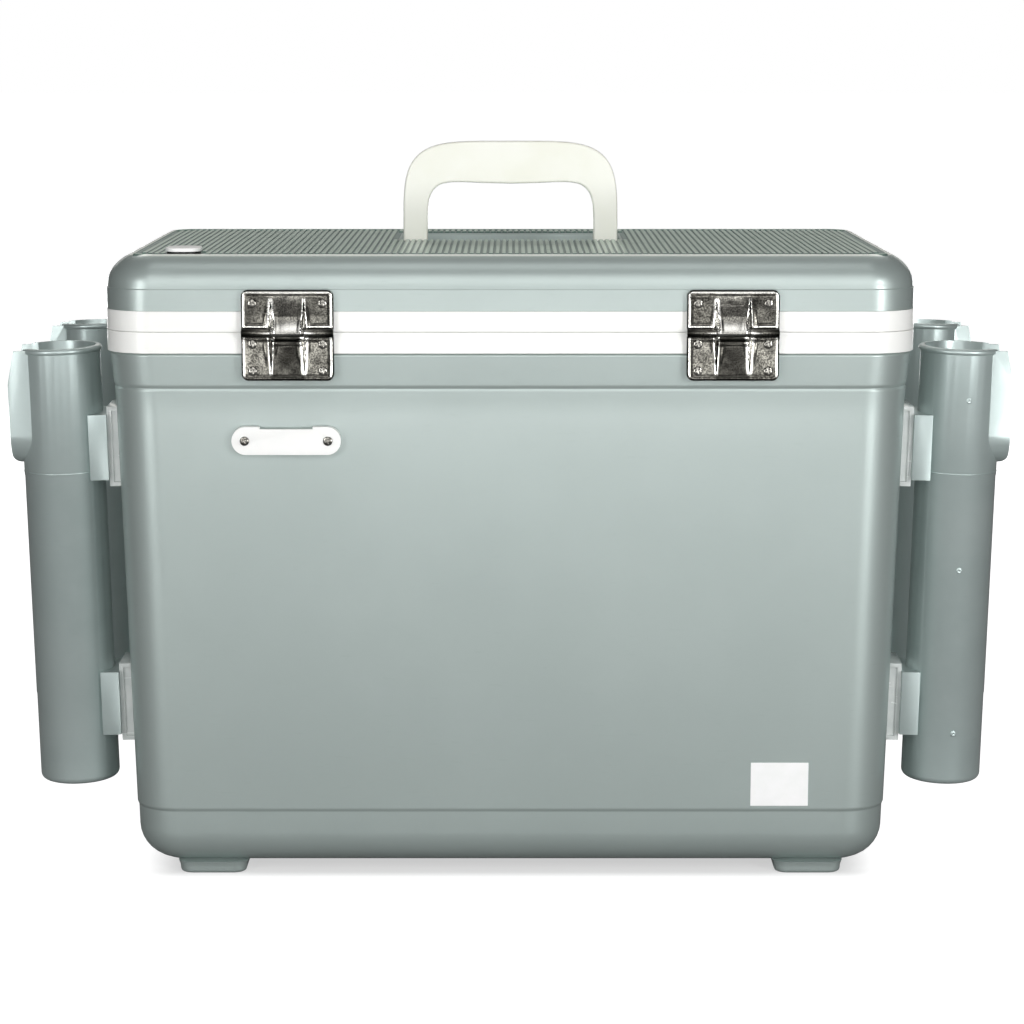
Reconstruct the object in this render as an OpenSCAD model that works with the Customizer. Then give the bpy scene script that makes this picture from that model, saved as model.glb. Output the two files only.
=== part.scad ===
// Insulated live bait box with a hinged lid, a folding handle and four rod tubes.
// Millimetres. The origin is on the floor under the middle of the box, +Z is up,
// -Y is the hinge side and +Y is the latch side.

/* [Box] */
// Length of the box across its white rim
rim_length = 483; // [460:1:520]
// Width of the box across its white rim
rim_width = 280; // [260:1:310]
// Height of the joint between the box and its lid
parting_z = 335; // [325:1:360]
// Total height of the closed lid's top
lid_top_z = 380; // [377:1:386]
// Radius of the rim's corners seen from above
corner_radius = 29; // [26:1:34]
// Gap between the box's rim and the lid's rim
parting_gap = 0.5; // [0.3:0.1:1]
// Height of each white rim band
band_height = 12.5; // [11:0.5:13]
// Wall of the outer casing and of the lid
casing_wall = 3; // [2.5:0.1:3.5]
// Lean of the casing's walls
wall_draft = 1.7; // [1:0.1:2]
// Height of the tapered collar under the rim
collar_height = 32; // [28:1:36]
// How far the collar draws the casing in
collar_inset = 2.8; // [2.2:0.1:3.6]

/* [Liner] */
// Thickness of the insulated wall at the rim, from the rim's outside to the well
insulation = 30; // [28:1:34]
// Wall of the white liner
liner_wall = 2.5; // [2:0.1:3]
// Height of the well's floor
well_floor_z = 40; // [34:1:46]
// Radius of the well's corners
well_corner = 20; // [18:1:24]

/* [Feet] */
// Height of the four feet
foot_height = 6; // [5:0.5:9]
// Length of a foot
foot_length = 41; // [34:1:46]
// Width of a foot
foot_width = 46; // [36:1:50]
// Distance from the middle to a foot's centre, along the box
foot_spread = 182.5; // [170:0.5:186]

/* [Handle] */
// Outer width of the handle
handle_width = 137; // [125:1:145]
// Height of the handle's top
handle_top_z = 442; // [432:1:444]
// Thickness of the handle
handle_depth = 12; // [10:0.5:12.5]
// Width of a handle leg
leg_width = 15.5; // [13:0.5:18]
// Place of the handle's pivot across the box
handle_y = 25; // [20:0.5:28]
// Length of the well that the handle folds into, across the box
recess_length = 81; // [79:0.5:84]
// Free space at each end of the handle
recess_clearance = 2.5; // [2:0.1:4]
// Radius of the handle's pivot pins
handle_pin_radius = 3; // [2.5:0.1:3.5]

/* [Hinges and latches] */
// Width of a hinge or latch plate
leaf_width = 54.5; // [50:0.5:58]
// Distance from the middle to a hinge's centre
hinge_spread = 131.3; // [120:0.1:150]
// Distance from the middle to a latch's centre
latch_spread = 131.3; // [120:0.1:150]
// How far a hinge plate's face stands off the rim
leaf_depth = 4.5; // [4.2:0.1:5]
// Sheet thickness of the plates
sheet = 1.5; // [1.2:0.1:1.6]
// Radius of a hinge barrel
barrel_radius = 3.5; // [3.2:0.1:3.8]
// Radius of a hinge pin
pin_radius = 1.5; // [1.2:0.1:1.8]
// Running clearance round every pin
running_clearance = 0.05; // [0.03:0.01:0.08]
// Length of the middle barrel
barrel_length = 33; // [28:1:36]

/* [Rod tubes] */
// Outer diameter of a rod tube
tube_diameter = 49.7; // [46:0.1:52]
// Wall of a rod tube
tube_wall = 2.4; // [2:0.1:2.8]
// Height of a rod tube's lower end above the floor
tube_bottom_z = 50.5; // [44:0.5:56]
// Length of a rod tube
tube_length = 271; // [265:1:278]
// Outward lean of a rod tube
tube_lean = 1.4; // [1:0.1:1.7]
// Spread of the two tubes on one side, for each tube
tube_fan = 1.3; // [0:0.1:1.6]
// Half the distance between the two tubes on one side
tube_spread = 76.6; // [70:0.1:80]
// Distance from the box's wall to a tube's axis, at half height
tube_offset = 38.1; // [37:0.1:42]
// Opening of the slot for a reel's foot
slot_width = 33; // [32:0.2:35]
// Distance from a tube's axis to the slot's lips
lip_reach = 29.5; // [28:0.1:31]

/* [Small parts] */
// Length of the pump hanger plate
hanger_length = 65; // [58:1:72]
// Height of the pump hanger plate
hanger_height = 16.8; // [14:0.2:20]
// Radius of a screw's head
screw_head_radius = 2.8; // [2.4:0.1:3.2]
// Radius of a screw's shank
screw_radius = 1.6; // [1.3:0.1:1.8]
// Radius of the air hose's hole through the lid
hose_radius = 2.6; // [2:0.1:3]
// Radius of the drain hole in each rod tube
drain_radius = 4; // [3:0.5:6]

/* [Hidden] */

// Colours
casing_colour = [0.66, 0.70, 0.68];
white_colour = [0.96, 0.96, 0.94];
cream_colour = [0.95, 0.94, 0.88];
steel_colour = [0.62, 0.62, 0.60];
foam_colour = [0.93, 0.86, 0.62];
rubber_colour = [0.08, 0.08, 0.08];
clear_colour = [0.85, 0.90, 0.90, 0.5];

// Fine resolution of round parts, and steps of one rounded corner of a loft
$fn = 64;
corner_steps = 8;

// Small clearances and the overlap of a cut past its face
fit = 0.1;
hole_clearance = 0.05;
cut = 1;

// Rim, collar and base of the casing
half_x = rim_length / 2;
half_y = rim_width / 2;
rim_top_z = parting_z - parting_gap / 2;
lid_low_z = parting_z + parting_gap / 2;
rim_low_z = rim_top_z - band_height;
lid_rim_z = lid_low_z + band_height - parting_gap;
rim_skirt = 3;
flange_thickness = 3.2;
top_inset = 1.4;
waist_z = rim_low_z - collar_height;
collar_line_z = rim_low_z - 21.5;
waist_inset = top_inset + collar_inset;
base_step_z = foot_height + 36;
base_step = 0.8;
base_edge_x = 23;
base_edge_z = 22;

// Lid
lid_step_z = lid_top_z - 20;
lid_step = 0.4;
lid_edge = 15.5;
lid_land = 4;
lid_well_z = lid_low_z + 10;
gasket_width = 7.6;
gasket_inset = 14.5;
gasket_depth = 2.2;

// Handle and its recess in the lid
pivot_z = lid_top_z - handle_depth / 2 - 1;
recess_half_x = handle_width / 2 + recess_clearance;
recess_low_y = handle_y - handle_depth / 2 - 1;
recess_floor_z = pivot_z - handle_depth / 2 - 2;
handle_edge = 3;
handle_spring_z = lid_top_z + 10;
handle_bow = 3;
handle_bar = 24;
pin_reach = 9;

// Hinge line and latch line
barrel_gap = 0.4;
axis_y = half_y + barrel_radius + 1.5;
leaf_low_z = parting_z - 28.5;
leaf_high_z = parting_z + 25.3;
leaf_corner = 4;
leaf_edge = 0.9;
leaf_screw_x = 20.7;
leaf_low_screw_drop = 22.6;
leaf_high_screw_drop = 6.7;
leaf_screw_z = [parting_z - leaf_low_screw_drop, parting_z - leaf_high_screw_drop];
leaf_top_screw_z = parting_z + 17.3;
screw_length = 12;
hasp_axis_z = parting_z + 9;
hasp_sheet = 1.5;
hasp_window_low = 26;
hasp_window_high = 20;
hasp_window_width = 22;
catch_face_y = half_y + 1;
catch_nose_z = hasp_axis_z - 23.5;
catch_nose_width = 16;
catch_nose_height = 2.4;
nose_clearance = 0.35;
catch_low_z = parting_z - 38;
catch_high_z = rim_low_z;
catch_low_screw_rise = 5;
catch_high_screw_drop = 5.5;
catch_screw_z = [catch_low_z + catch_low_screw_rise, catch_high_z - catch_high_screw_drop];

// Rod tubes
tube_radius = tube_diameter / 2;
tube_bore = tube_radius - tube_wall;
tube_mid_z = 190;
bead_radius = tube_radius + 1.2;
bead_height = 3.5;
tube_step = 0.25;
tube_steps_z = [55, 192];
lip_wall = 2.2;
slot_centre_z = tube_length - 52.5;
block_in = 29.3;
block_depth = 11.2;
block_half_y = 20;
block_upper = [190, 40];
block_lower = [30.5, 39.5];
spacer_margin = 4.5;
spacer_half_y = 16;
spacer_flange = 2.6;
spacer_web = 4;
tube_screw_radius = 2;
tube_screw_head = 4.2;
tube_screw_spread = 11;
tube_screw_length = 30;

// Pump hanger, label and hose port
hanger_x = -133;
hanger_z = 270.5;
hanger_screw_x = 24.7;
hanger_sheet = 2.5;
hanger_gap = 3;
label_x = 163.5;
label_z = 58.5;
label_size = [35, 27, 0.3];
port_x = -half_x + 43.5;
port_y = -half_y + 42;
hood_centre_y = port_y - 8;
hood_length = 21;
hood_depth = 20;
hood_height = 4;
hood_slot = 1.6;
grommet_radius = 5;

boss_depth = 9;
collar_boss_y = half_y - top_inset - collar_inset * 0.8 - 0.1;
tube_boss_half_y = 9;

// Inset of the casing's wall from the rim, at a height below the waist
function wall_inset(z) = waist_inset + (waist_z - z) * tan(wall_draft);
// Place of the casing's wall at a height, along and across the box
function wall_x(z) = half_x - wall_inset(z);
function wall_y(z) = half_y - wall_inset(z);

// One closed ring of points: a rectangle with rounded corners at height z
function ring(z, hx, hy, r) = [
    for (corner = [0:3], k = [0:corner_steps])
        let (turn = 90 * corner + 90 * k / corner_steps,
            cx = (corner == 0 || corner == 3) ? hx - r : r - hx,
            cy = corner < 2 ? hy - r : r - hy)
        [cx + r * cos(turn), cy + r * sin(turn), z]];
// A ring set in from the rim, with its corner drawn in by a share of the inset
function rim_ring(z, inset) =
    ring(z, half_x - inset, half_y - inset, max(corner_radius - 0.8 * inset, 4));
// A ring of the lower casing, whose corners stay round as the walls draw in
function casing_ring(z, inset, edge) =
    ring(z, half_x - inset - edge, half_y - inset - edge,
        max(corner_radius - 0.2 * inset - 0.8 * edge, 4));

// Rings of the casing's outside, or of its inside when offset by the wall
function casing_rings(offset, top_z) = concat(
    [for (turn = [0:15:90])
        let (edge = (base_edge_x - offset) * (1 - sin(turn)),
            z = foot_height + offset + (base_edge_z - offset) * (1 - cos(turn)))
        casing_ring(z, wall_inset(z) + base_step + offset, edge)],
    [casing_ring(base_step_z - 1, wall_inset(base_step_z - 1) + base_step + offset, 0),
        casing_ring(base_step_z + 1, wall_inset(base_step_z + 1) + offset, 0),
        casing_ring(waist_z, waist_inset + offset, 0),
        casing_ring(collar_line_z - 0.6, top_inset + collar_inset * 0.76 + offset, 0),
        casing_ring(collar_line_z + 0.6, top_inset + collar_inset * 0.72 + offset, 0),
        casing_ring(rim_low_z - 0.01, top_inset + offset, 0),
        casing_ring(rim_low_z, rim_skirt + fit + offset, 0),
        casing_ring(top_z, rim_skirt + fit + offset, 0)]);

// Rings of a basin with drafted walls and a rounded floor edge
function basin_rings(top_inset_xy, offset, floor_z, top_z) = concat(
    [for (turn = [0:22.5:90])
        let (edge = (16 + offset) * (1 - sin(turn)),
            z = floor_z + (16 + offset) * (1 - cos(turn)),
            inset = top_inset_xy + (rim_top_z - z) * tan(1))
        ring(z, half_x - inset - edge, half_y - inset - edge, well_corner + offset - 0.7 * edge)],
    [ring(top_z, half_x - top_inset_xy - (rim_top_z - top_z) * tan(1),
        half_y - top_inset_xy - (rim_top_z - top_z) * tan(1), well_corner + offset)]);

// Rings of the lid's outside above its rim, or of its inside when offset by the wall
function lid_rings(offset, low_z) = concat(
    [rim_ring(low_z, offset), rim_ring(lid_step_z - 0.3, 0.1 + offset)],
    [for (turn = [0:15:90])
        rim_ring(lid_step_z + (lid_top_z - lid_step_z - offset) * sin(turn),
            lid_step + offset + (lid_edge - offset) * (1 - cos(turn)))]);

// Triangles that close a ring from side to side, which also suits an arch-shaped ring
function strip(count) = [for (k = [0:count / 2 - 2])
    each [[k, k + 1, count - 1 - k], [k + 1, count - 2 - k, count - 1 - k]]];

// A solid through a stack of rings that all have as many points
module loft(rings, arch = false) {
    count = len(rings[0]);
    last = (len(rings) - 1) * count;
    levels = len(rings);
    points = [for (one = rings) each one];
    sides = [for (level = [0:levels - 2], i = [0:count - 1])
        let (low = level * count, high = low + count, next = (i + 1) % count)
        each [[low + i, high + i, high + next], [low + i, high + next, low + next]]];
    floor_faces = arch ? strip(count) : [[for (i = [0:count - 1]) i]];
    top_faces = [for (face = floor_faces)
        [for (i = [len(face) - 1:-1:0]) last + face[i]]];
    polyhedron(points = points, faces = concat(floor_faces, sides, top_faces));
}

// A straight block with rounded corners between two heights, set in from the rim
module rim_block(inset, low_z, high_z) {
    loft([rim_ring(low_z, inset), rim_ring(high_z, inset)]);
}

// A flat pad on z = 0 with rounded corners and a rounded top edge
module pad(size_x, size_y, height, corner, edge) {
    loft(concat([ring(0, size_x / 2, size_y / 2, corner)],
        [for (turn = [0:30:90])
            let (inset = edge * (1 - cos(turn)))
            ring(height - edge + edge * sin(turn),
                size_x / 2 - inset, size_y / 2 - inset, corner - inset)]));
}

// Puts a part on the hinge side or, for side 1, on the latch side, with z outwards
module facing(x, z, y, side = -1) {
    rotate([0, 0, side < 0 ? 0 : 180])
        translate([side < 0 ? x : -x, -y, z])
            rotate([90, 0, 0])
                children();
}

// Puts a part on the casing's back wall, with its z axis square to the leaning wall
module on_back_wall(x, z) {
    translate([x, -wall_y(z), z])
        rotate([90 + wall_draft, 0, 0])
            children();
}

// A cross-recess screw along -z whose head sits on z = 0
module screw(head, shank, length) {
    head_height = head * 0.5;
    difference() {
        union() {
            rotate_extrude()
                polygon(concat([[0, 0], [head, 0]],
                    [for (turn = [15:15:90])
                        [head * cos(turn), 0.2 * head + (head_height - 0.2 * head) * sin(turn)]]));
            translate([0, 0, -length])
                cylinder(r = shank, h = length + 0.1);
        }
        for (turn = [0, 90])
            rotate([0, 0, turn + 20])
                translate([-head * 0.62, -head * 0.11, head * 0.2])
                    cube([head * 1.24, head * 0.22, head]);
    }
}

// ---------------------------------------------------------------- box

// Bosses inside the casing that take the screws; grown for the foam's pockets
module casing_bosses(grow = 0) {
    for (x = [-hinge_spread, hinge_spread])
        casing_boss(x, -1, leaf_low_z + 2, rim_top_z - flange_thickness - fit, collar_boss_y, grow);
    for (x = [-latch_spread, latch_spread])
        casing_boss(x, 1, catch_low_z + 1, catch_high_z - 1, collar_boss_y, grow);
    casing_boss(hanger_x, -1, hanger_z - hanger_height / 2, hanger_z + hanger_height / 2,
        wall_y(hanger_z) - casing_wall / 2, grow);
    for (turn = [0, 180], side = [-1, 1])
        rotate([0, 0, turn])
            tube_frame(side)
                for (block = [block_upper, block_lower])
                    translate([-tube_offset - casing_wall / 2 - 2 * boss_depth - grow,
                        -tube_boss_half_y - grow, block[0] + 4 - grow])
                        cube([2 * boss_depth, 2 * (tube_boss_half_y + grow), block[1] - 8 + 2 * grow]);
}

module casing_boss(x, side, low_z, high_z, outer_y, grow) {
    facing(x, low_z - grow, outer_y, side)
        translate([-leaf_width / 2 - grow, 0, -boss_depth - grow])
            cube([leaf_width + 2 * grow, high_z - low_z + 2 * grow, boss_depth + grow]);
}

module outer_casing() {
    color(casing_colour)
    difference() {
        union() {
            difference() {
                loft(casing_rings(0, rim_top_z - flange_thickness - fit));
                loft(casing_rings(casing_wall, rim_top_z));
            }
            casing_bosses();
            for (x = [-foot_spread, foot_spread], y = [-1, 1])
                translate([x, y * (half_y - 20 - foot_width / 2), foot_height + casing_wall])
                    rotate([180, 0, 0])
                        pad(foot_length, foot_width, foot_height + casing_wall, 7, 2.5);
        }
        body_screw_holes(screw_radius + hole_clearance, tube_screw_radius + hole_clearance);
    }
}

module body_screw_holes(radius, tube_radius_hole) {
    for (x = [-hinge_spread, hinge_spread], dx = [-leaf_screw_x, leaf_screw_x], z = leaf_screw_z)
        facing(x + dx, z, half_y + leaf_depth)
            translate([0, 0, -leaf_depth - screw_length])
                cylinder(r = radius, h = 2 * screw_length);
    for (x = [-latch_spread, latch_spread], dx = [-leaf_screw_x, leaf_screw_x], z = catch_screw_z)
        facing(x + dx, z, catch_face_y, 1)
            translate([0, 0, -screw_length - 1])
                cylinder(r = radius, h = 2 * screw_length);
    for (x = [-hanger_screw_x, hanger_screw_x])
        on_back_wall(hanger_x + x, hanger_z)
            translate([0, 0, -10])
                cylinder(r = radius, h = 20);
    for (turn = [0, 180], side = [-1, 1])
        rotate([0, 0, turn])
            tube_frame(side)
                tube_screw_places()
                    translate([0, 0, -tube_screw_length - 1])
                        cylinder(r = tube_radius_hole, h = tube_screw_length + 1);
}

module body_insulation() {
    color(foam_colour)
    difference() {
        loft(casing_rings(casing_wall + fit, rim_top_z - flange_thickness - fit));
        loft(basin_rings(insulation - liner_wall - fit, liner_wall + fit,
            well_floor_z - liner_wall - fit, rim_top_z));
        casing_bosses(fit);
    }
}

module inner_tub() {
    color(white_colour)
    difference() {
        union() {
            difference() {
                loft([rim_ring(rim_low_z, 0.5), rim_ring(rim_low_z + 0.5, 0),
                    rim_ring(rim_top_z - 0.7, 0), rim_ring(rim_top_z, 0.7)]);
                rim_block(rim_skirt, rim_low_z - cut, rim_top_z - flange_thickness);
            }
            loft(basin_rings(insulation - liner_wall, liner_wall,
                well_floor_z - liner_wall, rim_top_z));
        }
        loft(basin_rings(insulation, 0, well_floor_z, rim_top_z + cut));
        body_screw_holes(screw_radius + hole_clearance, 0.1);
    }
}

module blank_label() {
    color(white_colour)
    on_back_wall(label_x, label_z)
        translate([0, 0, label_size[2] / 2])
            cube(label_size, center = true);
}

// ---------------------------------------------------------------- lid

// Bosses inside the lid's wall for the hinge and latch screws, and round the pivot pins
module lid_bosses(grow = 0) {
    for (side = [-1, 1], x = [-hinge_spread, hinge_spread])
        facing(side < 0 ? x : x / hinge_spread * latch_spread, lid_rim_z + 1 - grow, half_y - 1, side)
            translate([-leaf_width / 2 - grow, 0, -boss_depth - grow])
                cube([leaf_width + 2 * grow, 12 + 2 * grow, boss_depth + grow]);
    for (side = [-1, 1])
        translate([side * (recess_half_x + casing_wall + pin_reach / 2 - 1), handle_y, pivot_z])
            cube([pin_reach + 2 + 2 * grow, 14 + 2 * grow, 9 + 2 * grow], center = true);
}

module recess_block(grow, low_z, high_z) {
    centre_y = recess_low_y + recess_length / 2;
    translate([0, centre_y, 0])
        loft([ring(low_z, recess_half_x + grow, recess_length / 2 + grow, 4 + grow),
            ring(high_z, recess_half_x + grow, recess_length / 2 + grow, 4 + grow)]);
}

module lid_cover() {
    color(casing_colour)
    difference() {
        union() {
            difference() {
                loft(lid_rings(0, lid_rim_z));
                loft(lid_rings(casing_wall, lid_rim_z - cut));
            }
            recess_block(casing_wall, recess_floor_z - casing_wall, lid_top_z - 1);
            lid_bosses();
        }
        recess_block(0, recess_floor_z, lid_top_z + cut);
        lid_screw_holes();
        translate([-recess_half_x - pin_reach, handle_y, pivot_z])
            rotate([0, 90, 0])
                cylinder(r = handle_pin_radius + hole_clearance, h = 2 * (recess_half_x + pin_reach));
        translate([port_x, port_y, lid_top_z - 2 * casing_wall])
            cylinder(r = grommet_radius + hole_clearance, h = 3 * casing_wall);
    }
}

module lid_screw_holes() {
    for (side = [-1, 1], x = [-1, 1], dx = [-leaf_screw_x, leaf_screw_x])
        facing(x * (side < 0 ? hinge_spread : latch_spread) + dx, leaf_top_screw_z,
            half_y + leaf_depth, side)
            translate([0, 0, -leaf_depth - screw_length])
                cylinder(r = screw_radius + hole_clearance, h = 2 * screw_length);
}

module lid_insulation() {
    color(foam_colour)
    difference() {
        union() {
            loft(concat([rim_ring(lid_low_z + lid_land + fit, rim_skirt + fit)],
                lid_rings(casing_wall + fit, lid_rim_z)));
        }
        rim_block(insulation - liner_wall - fit, parting_z, lid_well_z + liner_wall + fit);
        recess_block(casing_wall + fit, recess_floor_z - casing_wall - fit, lid_top_z);
        lid_bosses(fit);
        translate([port_x, port_y, lid_low_z])
            cylinder(r = grommet_radius + hole_clearance, h = lid_top_z - lid_low_z);
    }
}

module lid_liner() {
    color(white_colour)
    difference() {
        union() {
            difference() {
                loft([rim_ring(lid_low_z, 0.7), rim_ring(lid_low_z + 0.7, 0), rim_ring(lid_rim_z, 0)]);
                rim_block(rim_skirt, lid_low_z + lid_land, lid_rim_z + cut);
            }
            rim_block(insulation - liner_wall, lid_low_z, lid_well_z + liner_wall);
        }
        loft([ring(lid_low_z - cut, half_x - insulation, half_y - insulation, well_corner),
            ring(lid_well_z, half_x - insulation, half_y - insulation, well_corner)]);
        gasket_ring(0.1, lid_low_z - cut, lid_low_z + gasket_depth);
        translate([port_x, port_y, lid_well_z - cut])
            cylinder(r = grommet_radius + hole_clearance, h = liner_wall + 2 * cut);
    }
}

module gasket_ring(grow, low_z, high_z) {
    difference() {
        rim_block(gasket_inset - gasket_width / 2 - grow, low_z, high_z);
        rim_block(gasket_inset + gasket_width / 2 + grow, low_z - cut, high_z + cut);
    }
}

module lid_gasket() {
    color(rubber_colour)
    gasket_ring(0, rim_top_z + fit, lid_low_z + gasket_depth);
}

// White hood over the air hose's hole, with a low slot that faces backwards
module hose_port_hood() {
    color(white_colour)
    difference() {
        translate([port_x, hood_centre_y, lid_top_z])
            pad(hood_length, hood_depth, hood_height, 8, 3);
        translate([port_x, hood_centre_y, lid_top_z])
            translate([0, 4, -0.01])
                pad(hood_length - 4, hood_depth - 6, hood_height - 1.4, 6, 1);
        translate([port_x - hood_length / 2 + 2, hood_centre_y - hood_depth, lid_top_z - cut])
            cube([hood_length - 4, hood_depth, hood_slot + cut]);
    }
}

module hose_grommet() {
    color(rubber_colour)
    translate([port_x, port_y, lid_well_z - 2])
        difference() {
            union() {
                cylinder(r = grommet_radius, h = lid_top_z - lid_well_z + 2.6);
                cylinder(r = grommet_radius + 2, h = 2);
            }
            translate([0, 0, -cut])
                cylinder(r = hose_radius, h = lid_top_z - lid_well_z + 8);
        }
}

// ---------------------------------------------------------------- handle

// Outline of the handle in the XZ plane, drawn in by an inset all round
function handle_outline(inset) = let (
    a = handle_width / 2 - inset,
    h = handle_top_z - handle_spring_z - inset,
    b = handle_width / 2 - leg_width + inset,
    g = handle_top_z - handle_bar - lid_top_z + inset)
    concat(
        [[a, pivot_z]],
        [for (turn = [0:6:180])
            [a * sign(cos(turn)) * pow(abs(cos(turn)), 2 / 3.5),
                handle_spring_z + h * pow(abs(sin(turn)), 2 / 3.5)]],
        [[-a, pivot_z], [-b, pivot_z]],
        [for (turn = [180:-6:0])
            let (x = b * sign(cos(turn)) * pow(abs(cos(turn)), 2 / 5))
            [x, lid_top_z + g * pow(abs(sin(turn)), 2 / 5)
                - handle_bow * max(0, 1 - pow(x / 45, 2))]],
        [[b, pivot_z]]);

module handle() {
    levels = concat(
        [for (turn = [0:30:90])
            [handle_edge * (1 - sin(turn)), -handle_depth / 2 + handle_edge * (1 - cos(turn))]],
        [for (turn = [90:-30:0])
            [handle_edge * (1 - sin(turn)), handle_depth / 2 - handle_edge * (1 - cos(turn))]]);
    color(cream_colour)
    difference() {
        union() {
            translate([0, handle_y, 0])
                loft([for (level = levels)
                    [for (p = handle_outline(level[0])) [p[0], -level[1], p[1]]]], true);
            for (side = [-1, 1])
                translate([side * (handle_width - leg_width) / 2, handle_y, pivot_z])
                    rotate([0, 90, 0])
                        cylinder(r = handle_depth / 2, h = leg_width, center = true);
        }
        translate([0, handle_y, pivot_z])
            rotate([0, 90, 0])
                cylinder(r = handle_pin_radius + running_clearance, h = handle_width + 2, center = true);
    }
}

module handle_pin(side) {
    color(steel_colour)
    translate([side * (handle_width / 2 - leg_width + 2), handle_y, pivot_z])
        rotate([0, side * 90, 0])
            cylinder(r = handle_pin_radius, h = leg_width - 2 + recess_clearance + pin_reach);
}

module handle_pin_left() { handle_pin(-1); }

module handle_pin_right() { handle_pin(1); }

// ---------------------------------------------------------------- hinges and latches

// A stamped plate with its face at the given distance, hollow behind
module leaf(width, height, depth) {
    difference() {
        union() {
            pad(width, height, depth, leaf_corner, leaf_edge);
            pad(24, height - 5, depth + 0.9, 3, 0.8);
        }
        translate([-width / 2 + sheet, -height / 2 + sheet, -cut])
            cube([width - 2 * sheet, height - 2 * sheet, depth - sheet + cut]);
    }
}

// Barrels round the hinge line: the middle one, or the two outer ones
module barrels(middle, grow = 0) {
    outer = leaf_width / 2;
    inner = barrel_length / 2;
    spans = middle ? [[-inner, inner]] : [[-outer, -inner - barrel_gap], [inner + barrel_gap, outer]];
    for (span = spans)
        translate([span[0] - grow, 0, 0])
            rotate([0, 90, 0])
                cylinder(r = barrel_radius + grow, h = span[1] - span[0] + 2 * grow);
}

module pin_hole(radius) {
    translate([-leaf_width / 2 - cut, 0, 0])
        rotate([0, 90, 0])
            cylinder(r = radius, h = leaf_width + 2 * cut);
}

module hinge_lower_leaf(x) {
    height = parting_z - leaf_low_z;
    color(steel_colour)
    difference() {
        union() {
            difference() {
                facing(x, leaf_low_z + height / 2, half_y)
                    leaf(leaf_width, height, leaf_depth);
                translate([x, -axis_y, parting_z])
                    barrels(true, barrel_gap);
            }
            facing(x, (leaf_low_z + rim_low_z) / 2, half_y - 5)
                leaf_feet(rim_low_z - leaf_low_z - hole_clearance);
            translate([x, -axis_y, parting_z])
                barrels(false);
        }
        translate([x, -axis_y, parting_z])
            pin_hole(pin_radius);
        for (dx = [-leaf_screw_x, leaf_screw_x], z = leaf_screw_z)
            facing(x + dx, z, half_y)
                cylinder(r = screw_radius + hole_clearance, h = leaf_depth + cut);
        loft(casing_rings(-0.02, rim_low_z + 0.1));
    }
}

// Side walls that carry a plate back to the drawn-in collar
module leaf_feet(height) {
    for (side = [-1, 1])
        translate([side * (leaf_width - sheet) / 2 - sheet / 2, -height / 2 + leaf_corner, 0])
            cube([sheet, height - leaf_corner, 5.5]);
}

module hinge_upper_leaf(x) {
    height = leaf_high_z - parting_z - 0.8;
    color(steel_colour)
    difference() {
        union() {
            difference() {
                facing(x, leaf_high_z - height / 2, half_y)
                    leaf(leaf_width, height, leaf_depth);
                translate([x, -axis_y, parting_z])
                    barrels(false, barrel_gap);
            }
            translate([x, -axis_y, parting_z])
                barrels(true);
        }
        translate([x, -axis_y, parting_z])
            pin_hole(pin_radius + running_clearance);
        for (dx = [-leaf_screw_x, leaf_screw_x])
            facing(x + dx, leaf_top_screw_z, half_y)
                cylinder(r = screw_radius + hole_clearance, h = leaf_depth + cut);
    }
}

module hinge_pin(x) {
    color(steel_colour)
    translate([x - leaf_width / 2, -axis_y, parting_z])
        rotate([0, 90, 0])
            cylinder(r = pin_radius, h = leaf_width);
}

module hinge_lower_leaf_left() { hinge_lower_leaf(-hinge_spread); }

module hinge_lower_leaf_right() { hinge_lower_leaf(hinge_spread); }

module hinge_upper_leaf_left() { hinge_upper_leaf(-hinge_spread); }

module hinge_upper_leaf_right() { hinge_upper_leaf(hinge_spread); }

module hinge_pin_left() { hinge_pin(-hinge_spread); }

module hinge_pin_right() { hinge_pin(hinge_spread); }

module hinge_lower_screws() {
    color(steel_colour)
    for (x = [-hinge_spread, hinge_spread], dx = [-leaf_screw_x, leaf_screw_x], z = leaf_screw_z)
        facing(x + dx, z, half_y + leaf_depth)
            screw(screw_head_radius, screw_radius, screw_length);
}

module hinge_upper_screws() {
    color(steel_colour)
    for (x = [-hinge_spread, hinge_spread], dx = [-leaf_screw_x, leaf_screw_x])
        facing(x + dx, leaf_top_screw_z, half_y + leaf_depth)
            screw(screw_head_radius, screw_radius, screw_length);
}

// Latch plate on the lid: two outer barrels carry the hasp's pin
module latch_plate(x) {
    height = leaf_high_z - hasp_axis_z;
    color(steel_colour)
    difference() {
        union() {
            difference() {
                facing(x, leaf_high_z - height / 2, half_y, 1)
                    leaf(leaf_width, height, leaf_depth);
                translate([x, axis_y, hasp_axis_z])
                    hasp_barrel(barrel_gap);
            }
            translate([x, axis_y, hasp_axis_z])
                barrels(false);
        }
        translate([x, axis_y, hasp_axis_z])
            pin_hole(pin_radius);
        for (dx = [-leaf_screw_x, leaf_screw_x])
            facing(x + dx, leaf_top_screw_z, half_y, 1)
                cylinder(r = screw_radius + hole_clearance, h = leaf_depth + cut);
    }
}

module hasp_barrel(grow = 0) {
    length = barrel_length + 2 * grow;
    translate([-length / 2, 0, 0])
        rotate([0, 90, 0])
            cylinder(r = barrel_radius + grow, h = length);
}

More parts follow.
